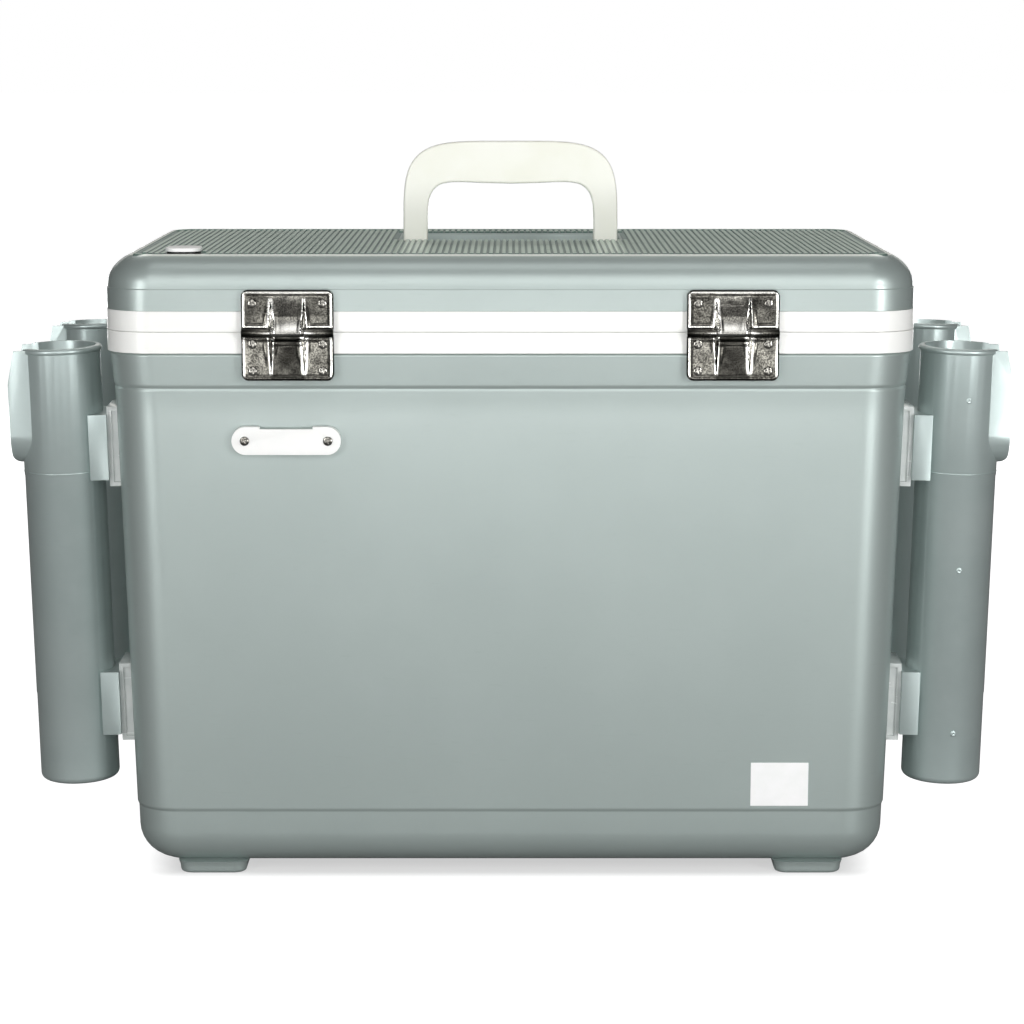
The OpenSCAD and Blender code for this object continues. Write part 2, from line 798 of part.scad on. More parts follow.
// Flap that hangs from the latch plate, with a window for the catch's nose
module latch_hasp(x) {
    top = hasp_axis_z;
    color(steel_colour)
    difference() {
        union() {
            translate([x - barrel_length / 2, axis_y - hasp_sheet / 2, top - hasp_window_low - 6])
                cube([barrel_length, hasp_sheet, hasp_window_low + 6]);
            translate([x, axis_y, top])
                hasp_barrel();
            translate([x - barrel_length / 2, axis_y - hasp_sheet / 2, top - hasp_window_low - 6])
                rotate([20, 0, 0])
                    translate([0, 0, -6])
                        cube([barrel_length, hasp_sheet, 6.5]);
        }
        translate([x - hasp_window_width / 2, axis_y - 5, top - hasp_window_low])
            cube([hasp_window_width, 10, hasp_window_low - hasp_window_high + 0.5]);
        translate([x, axis_y, top])
            pin_hole(pin_radius + running_clearance);
    }
}

// Catch plate on the casing, with a nose that the hasp's window snaps over
module latch_catch(x) {
    height = catch_high_z - catch_low_z;
    nose_reach = axis_y - hasp_sheet / 2 - nose_clearance - catch_face_y;
    color(steel_colour)
    difference() {
        union() {
            facing(x, catch_low_z + height / 2, catch_face_y - 7, 1)
                pad(leaf_width, height, 7, leaf_corner, leaf_edge);
            facing(x, catch_nose_z, catch_face_y - 1, 1)
                translate([-catch_nose_width / 2, -catch_nose_height / 2, 0])
                    cube([catch_nose_width, catch_nose_height, nose_reach + 1]);
        }
        for (dx = [-leaf_screw_x, leaf_screw_x], z = catch_screw_z)
            facing(x + dx, z, half_y - 10, 1)
                cylinder(r = screw_radius + hole_clearance, h = 20);
        loft(casing_rings(-0.02, rim_low_z + 0.1));
    }
}

module latch_pin(x) {
    color(steel_colour)
    translate([x - leaf_width / 2, axis_y, hasp_axis_z])
        rotate([0, 90, 0])
            cylinder(r = pin_radius, h = leaf_width);
}

module latch_plate_left() { latch_plate(-latch_spread); }

module latch_plate_right() { latch_plate(latch_spread); }

module latch_pin_left() { latch_pin(-latch_spread); }

module latch_pin_right() { latch_pin(latch_spread); }

module latch_hasp_left() { latch_hasp(-latch_spread); }

module latch_hasp_right() { latch_hasp(latch_spread); }

module latch_catch_left() { latch_catch(-latch_spread); }

module latch_catch_right() { latch_catch(latch_spread); }

module latch_plate_screws() {
    color(steel_colour)
    for (x = [-latch_spread, latch_spread], dx = [-leaf_screw_x, leaf_screw_x])
        facing(x + dx, leaf_top_screw_z, half_y + leaf_depth, 1)
            screw(screw_head_radius, screw_radius, screw_length);
}

module latch_catch_screws() {
    color(steel_colour)
    for (x = [-latch_spread, latch_spread], dx = [-leaf_screw_x, leaf_screw_x], z = catch_screw_z)
        facing(x + dx, z, catch_face_y, 1)
            screw(screw_head_radius, screw_radius, screw_length);
}

// ---------------------------------------------------------------- pump hanger

module hanger_outline(height) {
    straight = hanger_length - hanger_height;
    for (side = [-1, 1])
        translate([side * straight / 2, 0, 0])
            cylinder(d = hanger_height, h = height);
    translate([-straight / 2, -hanger_height / 2, 0])
        cube([straight, hanger_height, height]);
}

module pump_hanger() {
    color(white_colour)
    on_back_wall(hanger_x, hanger_z)
        difference() {
            hanger_outline(hanger_gap + hanger_sheet);
            translate([-16, -hanger_height, -cut])
                cube([32, 2 * hanger_height, hanger_gap + cut]);
            translate([-15.7, hanger_height / 2 - 1.4, -cut])
                cube([31.4, 2 * cut, 10]);
            for (x = [-hanger_screw_x, hanger_screw_x])
                translate([x, 0, -cut])
                    cylinder(r = screw_radius + hole_clearance, h = 10);
        }
}

module pump_hanger_screws() {
    color(steel_colour)
    for (x = [-hanger_screw_x, hanger_screw_x])
        on_back_wall(hanger_x + x, hanger_z)
            translate([0, 0, hanger_gap + hanger_sheet])
                screw(screw_head_radius, screw_radius, 14);
}

// ---------------------------------------------------------------- rod tubes

// Frame of a tube on the +X side: z up its axis from its lower end, +x outwards
module tube_frame(side) {
    translate([wall_x(tube_mid_z) + tube_offset, side * tube_spread, tube_mid_z])
        rotate([-side * tube_fan, tube_lean, 0])
            translate([0, 0, tube_bottom_z - tube_mid_z])
                children();
}

// Places of the screws that run from inside the tube through block and spacer
module tube_screw_places() {
    for (block = [block_upper, block_lower], dz = [-tube_screw_spread, tube_screw_spread])
        translate([-tube_bore - 2.6, 0, block[0] + block[1] / 2 + dz])
            rotate([0, 90, 0])
                children();
}

module rod_tube(side) {
    r = tube_radius;
    low = tube_radius - 2 * tube_step;
    color(casing_colour)
    tube_frame(side)
        difference() {
            union() {
                rotate_extrude()
                    polygon(concat(
                        [[0, 0], [low - 4, 0]],
                        [for (turn = [15:15:90]) [low - 4 + 4 * sin(turn), 4 - 4 * cos(turn)]],
                        [[low, tube_steps_z[0]], [r - tube_step, tube_steps_z[0] + 0.5],
                            [r - tube_step, tube_steps_z[1]], [r, tube_steps_z[1] + 0.5],
                            [r, tube_length - bead_height]],
                        [for (turn = [-60:30:90])
                            [bead_radius - bead_height / 2 + bead_height / 2 * cos(turn),
                                tube_length - bead_height / 2 + bead_height / 2 * sin(turn)]],
                        [[0, tube_length]]));
                for (block = [block_upper, block_lower])
                    translate([-block_in, -block_half_y, block[0]])
                        cube([block_depth, 2 * block_half_y, block[1]]);
                slot_lips();
            }
            translate([0, 0, tube_wall])
                cylinder(r = tube_bore, h = tube_length);
            slot_cut(0);
            translate([0, 0, -cut])
                cylinder(r = drain_radius, h = 2 * tube_wall + cut);
            tube_screw_places() {
                translate([0, 0, -2 * block_depth])
                    cylinder(r = tube_screw_radius + hole_clearance, h = 3 * block_depth);
                cylinder(r = tube_screw_head + hole_clearance, h = 6);
            }
        }
}

// The slot: straight sides and a round lower end, grown for its lips
module slot_cut(grow) {
    half = slot_width / 2 + grow;
    translate([0, 0, slot_centre_z])
        rotate([0, 90, 0])
            cylinder(r = half, h = lip_reach + 5);
    translate([0, -half, slot_centre_z])
        cube([lip_reach + 5, 2 * half, tube_length]);
}

// Lips of the slot, cut back at the top and rounded at the lower end
module slot_lips() {
    low_z = slot_centre_z - slot_width / 2 - lip_wall;
    intersection() {
        slot_cut(lip_wall);
        translate([0, slot_width, 0])
            rotate([90, 0, 0])
                linear_extrude(height = 2 * slot_width)
                    polygon(concat(
                        [[0, low_z - 1], [lip_reach - 6, low_z]],
                        [for (turn = [15:15:90])
                            [lip_reach - 6 + 6 * sin(turn), low_z + 6 - 6 * cos(turn)]],
                        [[lip_reach, tube_length - 21], [lip_reach - 4.2, tube_length - 1],
                            [0, tube_length - 1]]));
    }
}

// Clear spacer between a tube's block and the casing's wall
module tube_spacer(side, block) {
    height = block[1] + 2 * spacer_margin;
    depth = tube_offset - block_in + 3;
    color(clear_colour)
    difference() {
        tube_frame(side)
            difference() {
                translate([-block_in - depth, -spacer_half_y, block[0] - spacer_margin])
                    cube([depth, 2 * spacer_half_y, height]);
                for (y = [-1, 1])
                    translate([-block_in - depth - cut, y < 0 ? -spacer_half_y - cut : spacer_web,
                        block[0] - spacer_margin + spacer_flange])
                        cube([depth - spacer_flange + cut, spacer_half_y - spacer_web + cut,
                            height - 2 * spacer_flange]);
                translate([0, 0, block[0] + block[1] / 2])
                    for (dz = [-tube_screw_spread, tube_screw_spread])
                        translate([-block_in - depth - cut, 0, dz])
                            rotate([0, 90, 0])
                                cylinder(r = tube_screw_radius + hole_clearance, h = depth + 2 * cut);
            }
        wall_block();
    }
}

// Everything inside the casing's right wall below the waist
module wall_block() {
    translate([wall_x(0), 0, 0])
        rotate([0, wall_draft, 0])
            translate([-60, -half_y, -20])
                cube([60, 2 * half_y, 2 * parting_z]);
}

module rod_tube_screws() {
    color(steel_colour)
    for (turn = [0, 180], side = [-1, 1])
        rotate([0, 0, turn])
            tube_frame(side)
                tube_screw_places()
                    screw(tube_screw_head, tube_screw_radius, tube_screw_length);
}

module rod_tube_back_right() { rod_tube(-1); }

module rod_tube_front_right() { rod_tube(1); }

module rod_tube_back_left() { rotate([0, 0, 180]) rod_tube(1); }

module rod_tube_front_left() { rotate([0, 0, 180]) rod_tube(-1); }

module tube_spacer_upper_back_right() { tube_spacer(-1, block_upper); }

module tube_spacer_upper_front_right() { tube_spacer(1, block_upper); }

module tube_spacer_upper_back_left() { rotate([0, 0, 180]) tube_spacer(1, block_upper); }

module tube_spacer_upper_front_left() { rotate([0, 0, 180]) tube_spacer(-1, block_upper); }

module tube_spacer_lower_back_right() { tube_spacer(-1, block_lower); }

module tube_spacer_lower_front_right() { tube_spacer(1, block_lower); }

module tube_spacer_lower_back_left() { rotate([0, 0, 180]) tube_spacer(1, block_lower); }

module tube_spacer_lower_front_left() { rotate([0, 0, 180]) tube_spacer(-1, block_lower); }

outer_casing();
body_insulation();
inner_tub();
blank_label();
lid_cover();
lid_insulation();
lid_liner();
lid_gasket();
handle();
handle_pin_left();
handle_pin_right();
hose_port_hood();
hose_grommet();
hinge_lower_leaf_left();
hinge_lower_leaf_right();
hinge_upper_leaf_left();
hinge_upper_leaf_right();
hinge_pin_left();
hinge_pin_right();
hinge_lower_screws();
hinge_upper_screws();
latch_plate_left();
latch_plate_right();
latch_pin_left();
latch_pin_right();
latch_hasp_left();
latch_hasp_right();
latch_catch_left();
latch_catch_right();
latch_plate_screws();
latch_catch_screws();
pump_hanger();
pump_hanger_screws();
rod_tube_back_left();
rod_tube_back_right();
rod_tube_front_left();
rod_tube_front_right();
tube_spacer_upper_back_left();
tube_spacer_upper_back_right();
tube_spacer_upper_front_left();
tube_spacer_upper_front_right();
tube_spacer_lower_back_left();
tube_spacer_lower_back_right();
tube_spacer_lower_front_left();
tube_spacer_lower_front_right();
rod_tube_screws();
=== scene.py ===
"""Looks of an insulated live bait box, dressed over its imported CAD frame.

Sizes below are millimetres and become metres when a mesh is made. -Y is the hinge
side, which the camera sees, +Y is the latch side and +Z is up.
"""

import logging
import math
from collections.abc import Sequence
from dataclasses import dataclass, field, replace
from enum import Enum

import bmesh
import bpy
import numpy as np
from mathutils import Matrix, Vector


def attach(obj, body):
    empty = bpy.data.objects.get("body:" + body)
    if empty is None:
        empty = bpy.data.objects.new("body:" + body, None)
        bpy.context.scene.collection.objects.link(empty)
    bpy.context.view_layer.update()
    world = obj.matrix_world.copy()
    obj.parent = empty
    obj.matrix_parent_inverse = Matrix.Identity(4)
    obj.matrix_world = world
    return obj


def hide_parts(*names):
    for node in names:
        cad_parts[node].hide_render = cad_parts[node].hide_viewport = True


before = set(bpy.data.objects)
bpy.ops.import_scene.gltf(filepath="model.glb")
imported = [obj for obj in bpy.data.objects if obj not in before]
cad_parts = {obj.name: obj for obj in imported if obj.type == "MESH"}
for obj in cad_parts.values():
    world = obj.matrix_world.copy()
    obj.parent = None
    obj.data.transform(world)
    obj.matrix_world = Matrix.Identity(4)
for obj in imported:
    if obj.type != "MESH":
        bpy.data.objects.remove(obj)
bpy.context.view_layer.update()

MM = 0.001
LOG = logging.getLogger("bait_box")
Array = np.ndarray
Triple = tuple[float, float, float]
Screen = tuple[int, int, int]

# For copies of CAD nodes: metres within which vertices are one, degrees within which
# faces are one, and the angle that keeps every edge smooth.
MERGE_DISTANCE = 1e-6
FLAT_ANGLE = 0.5
ALL_SMOOTH = 180.0


# ------------------------------------------------------------------ surfaces


@dataclass(frozen=True)
class Bend:
    """One corner of a shell's profile: a rounded rectangle seen from above, at a height.

    Args:
        half_x: Half the rectangle's length.
        half_y: Half its width.
        corner: Radius of its corners.
        z: Height.
        centre_y: Place of its middle across the box.
        cut: How far from this corner the profile starts to round it.
    """

    half_x: float
    half_y: float
    corner: float
    z: float
    centre_y: float = 0.0
    cut: float = 0.0

    def row(self) -> list[float]:
        """Returns the values that a rounded profile blends."""
        return [self.half_x, self.half_y, self.corner, self.z, self.centre_y]


def rounded(bends: Sequence[Bend], steps: int = 7) -> Array:
    """Rounds the corners of a profile.

    A corner with a cut becomes a parabola from the point one cut before it to the
    point one cut after it, with the corner as its control point.

    Args:
        bends: The profile's corners, in order.
        steps: Points on each rounded corner.

    Returns:
        One row for each level: half_x, half_y, corner, z and centre_y.
    """
    rows = np.array([bend.row() for bend in bends])
    levels = [rows[:1]]
    share = np.linspace(0.0, 1.0, steps)[:, None]
    for at, bend in enumerate(bends[1:-1], start=1):
        if bend.cut <= 0:
            levels.append(rows[at : at + 1])
            continue
        back, ahead = rows[at - 1] - rows[at], rows[at + 1] - rows[at]
        start = rows[at] + back * min(bend.cut / math.hypot(back[0], back[3]), 0.5)
        end = rows[at] + ahead * min(bend.cut / math.hypot(ahead[0], ahead[3]), 0.5)
        pull = 2 * share * (1 - share) * rows[at]
        levels.append((1 - share) ** 2 * start + pull + share**2 * end)
    levels.append(rows[-1:])
    return np.concatenate(levels)


def loop(half_x: Array, half_y: Array, corner: Array, steps: int = 10) -> tuple[Array, Array]:
    """Rounded rectangles, each corner a quarter circle about its own centre.

    Args:
        half_x: Half the length of each rectangle.
        half_y: Half the width of each.
        corner: Corner radius of each.
        steps: Steps in one corner.

    Returns:
        The x and the y of every point, one row for each rectangle.
    """
    number = np.repeat(np.arange(4), steps + 1)
    angle = np.tile(np.linspace(0, math.pi / 2, steps + 1), 4) + number * math.pi / 2
    sign_x = np.where((number == 0) | (number == 3), 1.0, -1.0)
    sign_y = np.where(number < 2, 1.0, -1.0)
    half_x, half_y, corner = (np.asarray(v, float)[:, None] for v in (half_x, half_y, corner))
    x = sign_x * (half_x - corner) + corner * np.cos(angle)
    y = sign_y * (half_y - corner) + corner * np.sin(angle)
    return x, y


def rings(levels: Array, steps: int = 18) -> Array:
    """Stacks a rounded profile's levels as rings of points seen from above.

    Args:
        levels: The rows that rounded() returns.
        steps: Steps in one corner of a ring.

    Returns:
        Points as levels by points round by x, y, z.
    """
    x, y = loop(levels[:, 0], levels[:, 1], levels[:, 2], steps)
    z = np.broadcast_to(levels[:, 3, None], x.shape)
    return np.stack([x, y + levels[:, 4, None], z], axis=-1)


def turns(steps: int) -> Array:
    """Returns angles evenly spaced round a full circle, in radians."""
    return np.linspace(0, 2 * math.pi, steps, endpoint=False)


def link(name: str, data: bpy.types.ID) -> bpy.types.Object:
    """Makes an object and links it to the scene.

    Args:
        name: The object's name.
        data: Its mesh, lamp or camera.

    Returns:
        The new object.
    """
    made = bpy.data.objects.new(name, data)
    bpy.context.scene.collection.objects.link(made)
    return made


class Solid:
    """Closed lofts gathered into one mesh."""

    def __init__(self) -> None:
        self.points: list[Array] = []
        self.faces: list[Array] = []
        self.count = 0

    def loft(self, grid: Array) -> "Solid":
        """Adds a closed loft: quads between neighbour rings and one face on each end ring.

        Args:
            grid: Points as rings by points round by 3, in millimetres.

        Returns:
            The solid itself.
        """
        levels, around = grid.shape[:2]
        index = np.arange(levels * around).reshape(levels, around) + self.count
        ahead = np.roll(index, -1, axis=1)
        quads = np.stack([index[:-1], ahead[:-1], ahead[1:], index[1:]], axis=-1)
        self.faces += [quads.reshape(-1, 4), index[:1, ::-1], index[-1:]]
        self.points.append(grid.reshape(-1, 3))
        self.count += levels * around
        return self

    def build(self, name: str, sharp: float = 38.0) -> bpy.types.Object:
        """Makes the object, its faces turned outwards and smooth up to an angle.

        Args:
            name: The object's name.
            sharp: Angle in degrees above which an edge stays sharp.

        Returns:
            The new object, linked to the scene.
        """
        mesh = bpy.data.meshes.new(name)
        points = np.concatenate(self.points) * MM
        corners = np.concatenate([block.ravel() for block in self.faces])
        sizes = np.concatenate([np.full(len(block), block.shape[1]) for block in self.faces])
        mesh.vertices.add(len(points))
        mesh.vertices.foreach_set("co", points.astype(np.float32).ravel())
        mesh.loops.add(len(corners))
        mesh.loops.foreach_set("vertex_index", corners.astype(np.int32))
        mesh.polygons.add(len(sizes))
        starts = np.concatenate([[0], np.cumsum(sizes)[:-1]])
        mesh.polygons.foreach_set("loop_start", starts.astype(np.int32))
        mesh.update(calc_edges=True)
        mesh.validate()
        work = bmesh.new()
        work.from_mesh(mesh)
        bmesh.ops.recalc_face_normals(work, faces=work.faces)
        work.to_mesh(mesh)
        work.free()
        return finish_mesh(name, mesh, sharp)


def finish_mesh(name: str, mesh: bpy.types.Mesh, sharp: float) -> bpy.types.Object:
    """Links a mesh as an object with smooth faces and area-weighted normals.

    Args:
        name: The object's name.
        mesh: Its mesh.
        sharp: Angle in degrees above which an edge stays sharp.

    Returns:
        The new object.
    """
    mesh.polygons.foreach_set("use_smooth", np.ones(len(mesh.polygons), bool))
    mesh.set_sharp_from_angle(angle=math.radians(sharp))
    made = link(name, mesh)
    weighted = made.modifiers.new("weighted", "WEIGHTED_NORMAL")
    weighted.keep_sharp = True
    return made


def bevelled_copy(
    node: str, name: str, width: float, segments: int = 3, angle: float = 32.0
) -> bpy.types.Object:
    """Copies a CAD node's mesh, merges its triangles into faces and rounds its edges.

    Args:
        node: The CAD node.
        name: The new object's name.
        width: Width of the rounded edges in millimetres.
        segments: Steps across a rounded edge.
        angle: Edges sharper than this, in degrees, are rounded.

    Returns:
        The new object.
    """
    work = bmesh.new()
    work.from_mesh(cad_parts[node].data)
    bmesh.ops.remove_doubles(work, verts=work.verts, dist=MERGE_DISTANCE)
    flat = math.radians(FLAT_ANGLE)
    bmesh.ops.dissolve_limit(work, angle_limit=flat, verts=work.verts, edges=work.edges)
    bmesh.ops.recalc_face_normals(work, faces=work.faces)
    mesh = bpy.data.meshes.new(name)
    work.to_mesh(mesh)
    work.free()
    made = finish_mesh(name, mesh, ALL_SMOOTH)
    made.modifiers.clear()
    bevel = made.modifiers.new("rounded edges", "BEVEL")
    bevel.width = width * MM
    bevel.segments = segments
    bevel.limit_method = "ANGLE"
    bevel.angle_limit = math.radians(angle)
    bevel.use_clamp_overlap = True
    bevel.harden_normals = True
    return made


def smooth_step(value: Array, low: float, high: float) -> Array:
    """Rises from 0 at low to 1 at high as 3t^2 - 2t^3.

    Args:
        value: Values to map.
        low: Where the rise starts.
        high: Where it ends.

    Returns:
        The mapped values.
    """
    t = np.clip((value - low) / (high - low), 0.0, 1.0)
    return t * t * (3.0 - 2.0 * t)


def bell(value: Array, centre: float, width: float | Array) -> Array:
    """A bell curve exp(-((value - centre) / width)^2).

    Args:
        value: Values to map.
        centre: Where it reaches 1.
        width: Distance at which it has fallen to 1/e.

    Returns:
        The mapped values.
    """
    return np.exp(-(((value - centre) / width) ** 2))


# ----------------------------------------------------------------- materials


class Field:
    """A shader socket that adds, subtracts and multiplies like a number."""

    def __init__(self, graph: "Graph", socket: bpy.types.NodeSocket) -> None:
        self.graph = graph
        self.socket = socket

    def _math(self, operation: str, first: "Field | float", second: "Field | float") -> "Field":
        return self.graph.node("ShaderNodeMath", {"operation": operation}, {0: first, 1: second})

    def __add__(self, other: "Field | float") -> "Field":
        return self._math("ADD", self, other)

    __radd__ = __add__

    def __mul__(self, other: "Field | float") -> "Field":
        return self._math("MULTIPLY", self, other)

    __rmul__ = __mul__

    def __sub__(self, other: "Field | float") -> "Field":
        return self._math("SUBTRACT", self, other)

    def __rsub__(self, other: "Field | float") -> "Field":
        return self._math("SUBTRACT", other, self)


Shade = Field | tuple[float, ...]
Owner = bpy.types.Material | bpy.types.World


class Graph:
    """Builds the nodes of one material, or of the world."""

    def __init__(self, owner: Owner) -> None:
        self.owner = owner
        owner.use_nodes = True
        self.tree = owner.node_tree
        self.tree.nodes.clear()

    def node(
        self,
        kind: str,
        settings: dict[str, object] | None = None,
        inputs: dict[int | str, object] | None = None,
        output: int | str = 0,
    ) -> Field:
        """Adds any node.

        Args:
            kind: The node's type name.
            settings: Its properties.
            inputs: Its sockets by name or number; a Field is linked, anything else is set.
            output: The output that the result stands for.

        Returns:
            The chosen output.
        """
        made = self.tree.nodes.new(kind)
        for key, value in (settings or {}).items():
            setattr(made, key, value)
        for key, value in (inputs or {}).items():
            if isinstance(value, Field):
                self.tree.links.new(value.socket, made.inputs[key])
            else:
                made.inputs[key].default_value = value
        return Field(self, made.outputs[output])

    def place(self, stretch: Triple = (1.0, 1.0, 1.0)) -> Field:
        """Returns the place on the object in metres, stretched along its axes."""
        where = self.node("ShaderNodeTexCoord", output="Object")
        return self.node("ShaderNodeMapping", inputs={"Vector": where, "Scale": stretch})

    def along(self, axis: str) -> Field:
        """Returns the place along an axis, in metres."""
        return self.node("ShaderNodeSeparateXYZ", inputs={0: self.place()}, output=axis)

    def across(self, axis: str) -> Field:
        """Returns the distance from the object's middle along an axis."""
        return self.node("ShaderNodeMath", {"operation": "ABSOLUTE"}, {0: self.along(axis)})

    def noise(self, size: float, detail: float, stretch: Triple = (1.0, 1.0, 1.0)) -> Field:
        """Returns soft noise from 0 to 1 whose spots are about size millimetres across."""
        inputs = {"Vector": self.place(stretch), "Scale": 1000.0 / size, "Detail": detail}
        return self.node("ShaderNodeTexNoise", inputs=inputs)

    def span(
        self, value: Field, low: float, high: float, to_low: float = 0.0, to_high: float = 1.0
    ) -> Field:
        """Maps a value from one range to another, easing at its ends, and holds it there."""
        inputs = {"Value": value, "From Min": low, "From Max": high}
        inputs |= {"To Min": to_low, "To Max": to_high}
        return self.node("ShaderNodeMapRange", {"interpolation_type": "SMOOTHSTEP"}, inputs)

    def tint(self, share: Field, first: Shade, second: Shade) -> Field:
        """Blends two colours, each a field or plain red, green and blue."""
        inputs = {0: share}
        for socket, colour in ((6, first), (7, second)):
            inputs[socket] = (*colour, 1.0) if isinstance(colour, tuple) else colour
        return self.node("ShaderNodeMix", {"data_type": "RGBA"}, inputs, output=2)

    def bump(self, height: Field, depth: float, below: Field | None = None) -> Field:
        """Tilts the surface by a height whose full range is depth millimetres."""
        inputs: dict[int | str, object] = {"Height": height, "Distance": depth * MM, "Strength": 1.0}
        if below is not None:
            inputs["Normal"] = below
        return self.node("ShaderNodeBump", inputs=inputs)

    def seen(self, hidden: Field, shown: Field) -> Field:
        """Shows the camera one shader and every other ray another."""
        camera = self.node("ShaderNodeLightPath", output="Is Camera Ray")
        return self.node("ShaderNodeMixShader", inputs={0: camera, 1: hidden, 2: shown})

    def finish(self, shader: Field) -> None:
        """Links a shader to the output of the material or the world."""
        kind = "World" if isinstance(self.owner, bpy.types.World) else "Material"
        out = self.tree.nodes.new(f"ShaderNodeOutput{kind}")
        self.tree.links.new(shader.socket, out.inputs["Surface"])


def linear(colour: Screen) -> Triple:
    """Turns a colour from 0 to 255 as seen on a screen into linear light.

    Args:
        colour: Red, green and blue.

    Returns:
        The same colour in linear light from 0 to 1.
    """

    def decode(value: float) -> float:
        return value / 12.92 if value <= 0.04045 else ((value + 0.055) / 1.055) ** 2.4

    red, green, blue = (decode(channel / 255) for channel in colour)
    return red, green, blue


# Where the lid's top turns from painted shade to painted highlight, in metres: up a rib,
# up to the ribbed field, up to the bead round it, and out to that bead along and across the lid.
RIB_RISE = (0.37955, 0.3798)
FIELD_RISE = (0.3786, 0.3789)
BEAD_RISE = (0.3786, 0.3790)
BEAD_X = (0.2242, 0.2248)
BEAD_Y = (0.1227, 0.1233)
# Painted highlight along the bead round the ribbed field, where a lamp glints on its edge.
BEAD_HIGHLIGHT: Screen = (226, 231, 225)
# Painted shade and painted highlight colours for the steel plates.
STEEL_SHADE: Screen = (26, 26, 23)
STEEL_HIGHLIGHT: Screen = (253, 252, 247)
MARK_SIZE = 1.6
MARK_STRETCH: Triple = (0.12, 0.12, 1.0)


@dataclass(frozen=True)
class Finish:
    """One surface finish.

    Args:
        slot: Material slot of the record.
        colour: Colour as seen on a screen, 0 to 255.
        deep: Colour of the darker clouds and specks.
        rough: Roughness.
        rough_spread: How far smudges change it.
        metal: Metallic share.
        coat: Clear coat.
        coat_rough: Roughness of the coat.
        clear: Share of light let through.
        index: Index of refraction.
        cloud: Size of the colour clouds in millimetres.
        grain: Size of the fine grain in millimetres.
        grain_depth: Depth of the grain in millimetres.
        wave: Size of the moulded surface's waves in millimetres.
        wave_depth: Depth of the waves.
        speck: Share of the grain's own light and dark in the colour.
        scratch: Share of fine worn marks in the roughness.
        hollow: Colour of the painted shade in the hollows between the lid's ribs.
        crest: Colour of the painted highlight on the ribs' crests.
        painted_light: Whether the mesh's polish attribute paints highlights and shade on the steel.
    """

    slot: str
    colour: Screen
    deep: Screen
    rough: float = 0.4
    rough_spread: float = 0.08
    metal: float = 0.0
    coat: float = 0.0
    coat_rough: float = 0.1
    clear: float = 0.0
    index: float = 1.5
    cloud: float = 60.0
    grain: float = 0.5
    grain_depth: float = 0.01
    wave: float = 90.0
    wave_depth: float = 0.0
    speck: float = 0.0
    scratch: float = 0.15
    hollow: Screen | None = None
    crest: Screen | None = None
    painted_light: bool = False

    def ribbed(self, graph: Graph, colour: Field) -> Field:
        """Paints shade in the lid's rib hollows and highlights on their crests and on the bead."""
        height = graph.along("Z")
        # Painted shade in the rib hollows and painted highlight on the rib crests.
        ribs = graph.tint(graph.span(height, *RIB_RISE), linear(self.hollow), linear(self.crest))
        colour = graph.tint(graph.span(height, *FIELD_RISE), colour, ribs)
        # Painted highlight along the bead round the ribbed field.
        rim = graph.span(graph.across("X"), *BEAD_X) + graph.span(graph.across("Y"), *BEAD_Y)
        rim = graph.span(rim, 0.0, 1.0) * graph.span(height, *BEAD_RISE)
        return graph.tint(rim, colour, graph.tint(rim, linear(self.crest), linear(BEAD_HIGHLIGHT)))

    def polished(self, graph: Graph, colour: Field) -> Field:
        """Paints shade where the mesh's polish attribute is below 0 and highlights where above."""
        painted_light = graph.node("ShaderNodeAttribute", {"attribute_name": "painted_light"}, output="Fac")
        colour = graph.tint(graph.span(painted_light, -1.0, 0.0), linear(STEEL_SHADE), colour)
        return graph.tint(graph.span(painted_light, 0.0, 1.0), colour, linear(STEEL_HIGHLIGHT))

    def material(self) -> bpy.types.Material:
        """Returns the finish's material: clouds, grain, waves, smudges and worn marks."""
        material = bpy.data.materials.new(self.slot)
        graph = Graph(material)
        clouds = graph.noise(self.cloud, 4.0)
        grain = graph.noise(self.grain, 2.0)
        marks = graph.noise(MARK_SIZE, 2.0, MARK_STRETCH)
        mottle = graph.span(clouds, 0.3, 0.7)
        if self.speck > 0:
            specks = graph.span(grain, 0.35, 0.65)
            mottle = mottle * (1.0 - self.speck) + specks * self.speck
        colour = graph.tint(mottle, linear(self.colour), linear(self.deep))
        if self.hollow and self.crest:
            colour = self.ribbed(graph, colour)
        if self.painted_light:
            colour = self.polished(graph, colour)
        smudge = (clouds - 0.5) * (2.0 * self.rough_spread)
        worn = graph.span(marks, 0.62, 0.75, 0.0, self.scratch)
        normal = graph.bump(grain, self.grain_depth)
        if self.wave_depth > 0:
            normal = graph.bump(graph.noise(self.wave, 1.0), self.wave_depth, normal)
        inputs = {
            "Base Color": colour,
            "Roughness": smudge + worn + self.rough,
            "Metallic": self.metal,
            "Coat Weight": self.coat,
            "Coat Roughness": self.coat_rough,
            "Transmission Weight": self.clear,
            "IOR": self.index,
            "Normal": normal,
        }
        graph.finish(graph.node("ShaderNodeBsdfPrincipled", inputs=inputs))
        return material


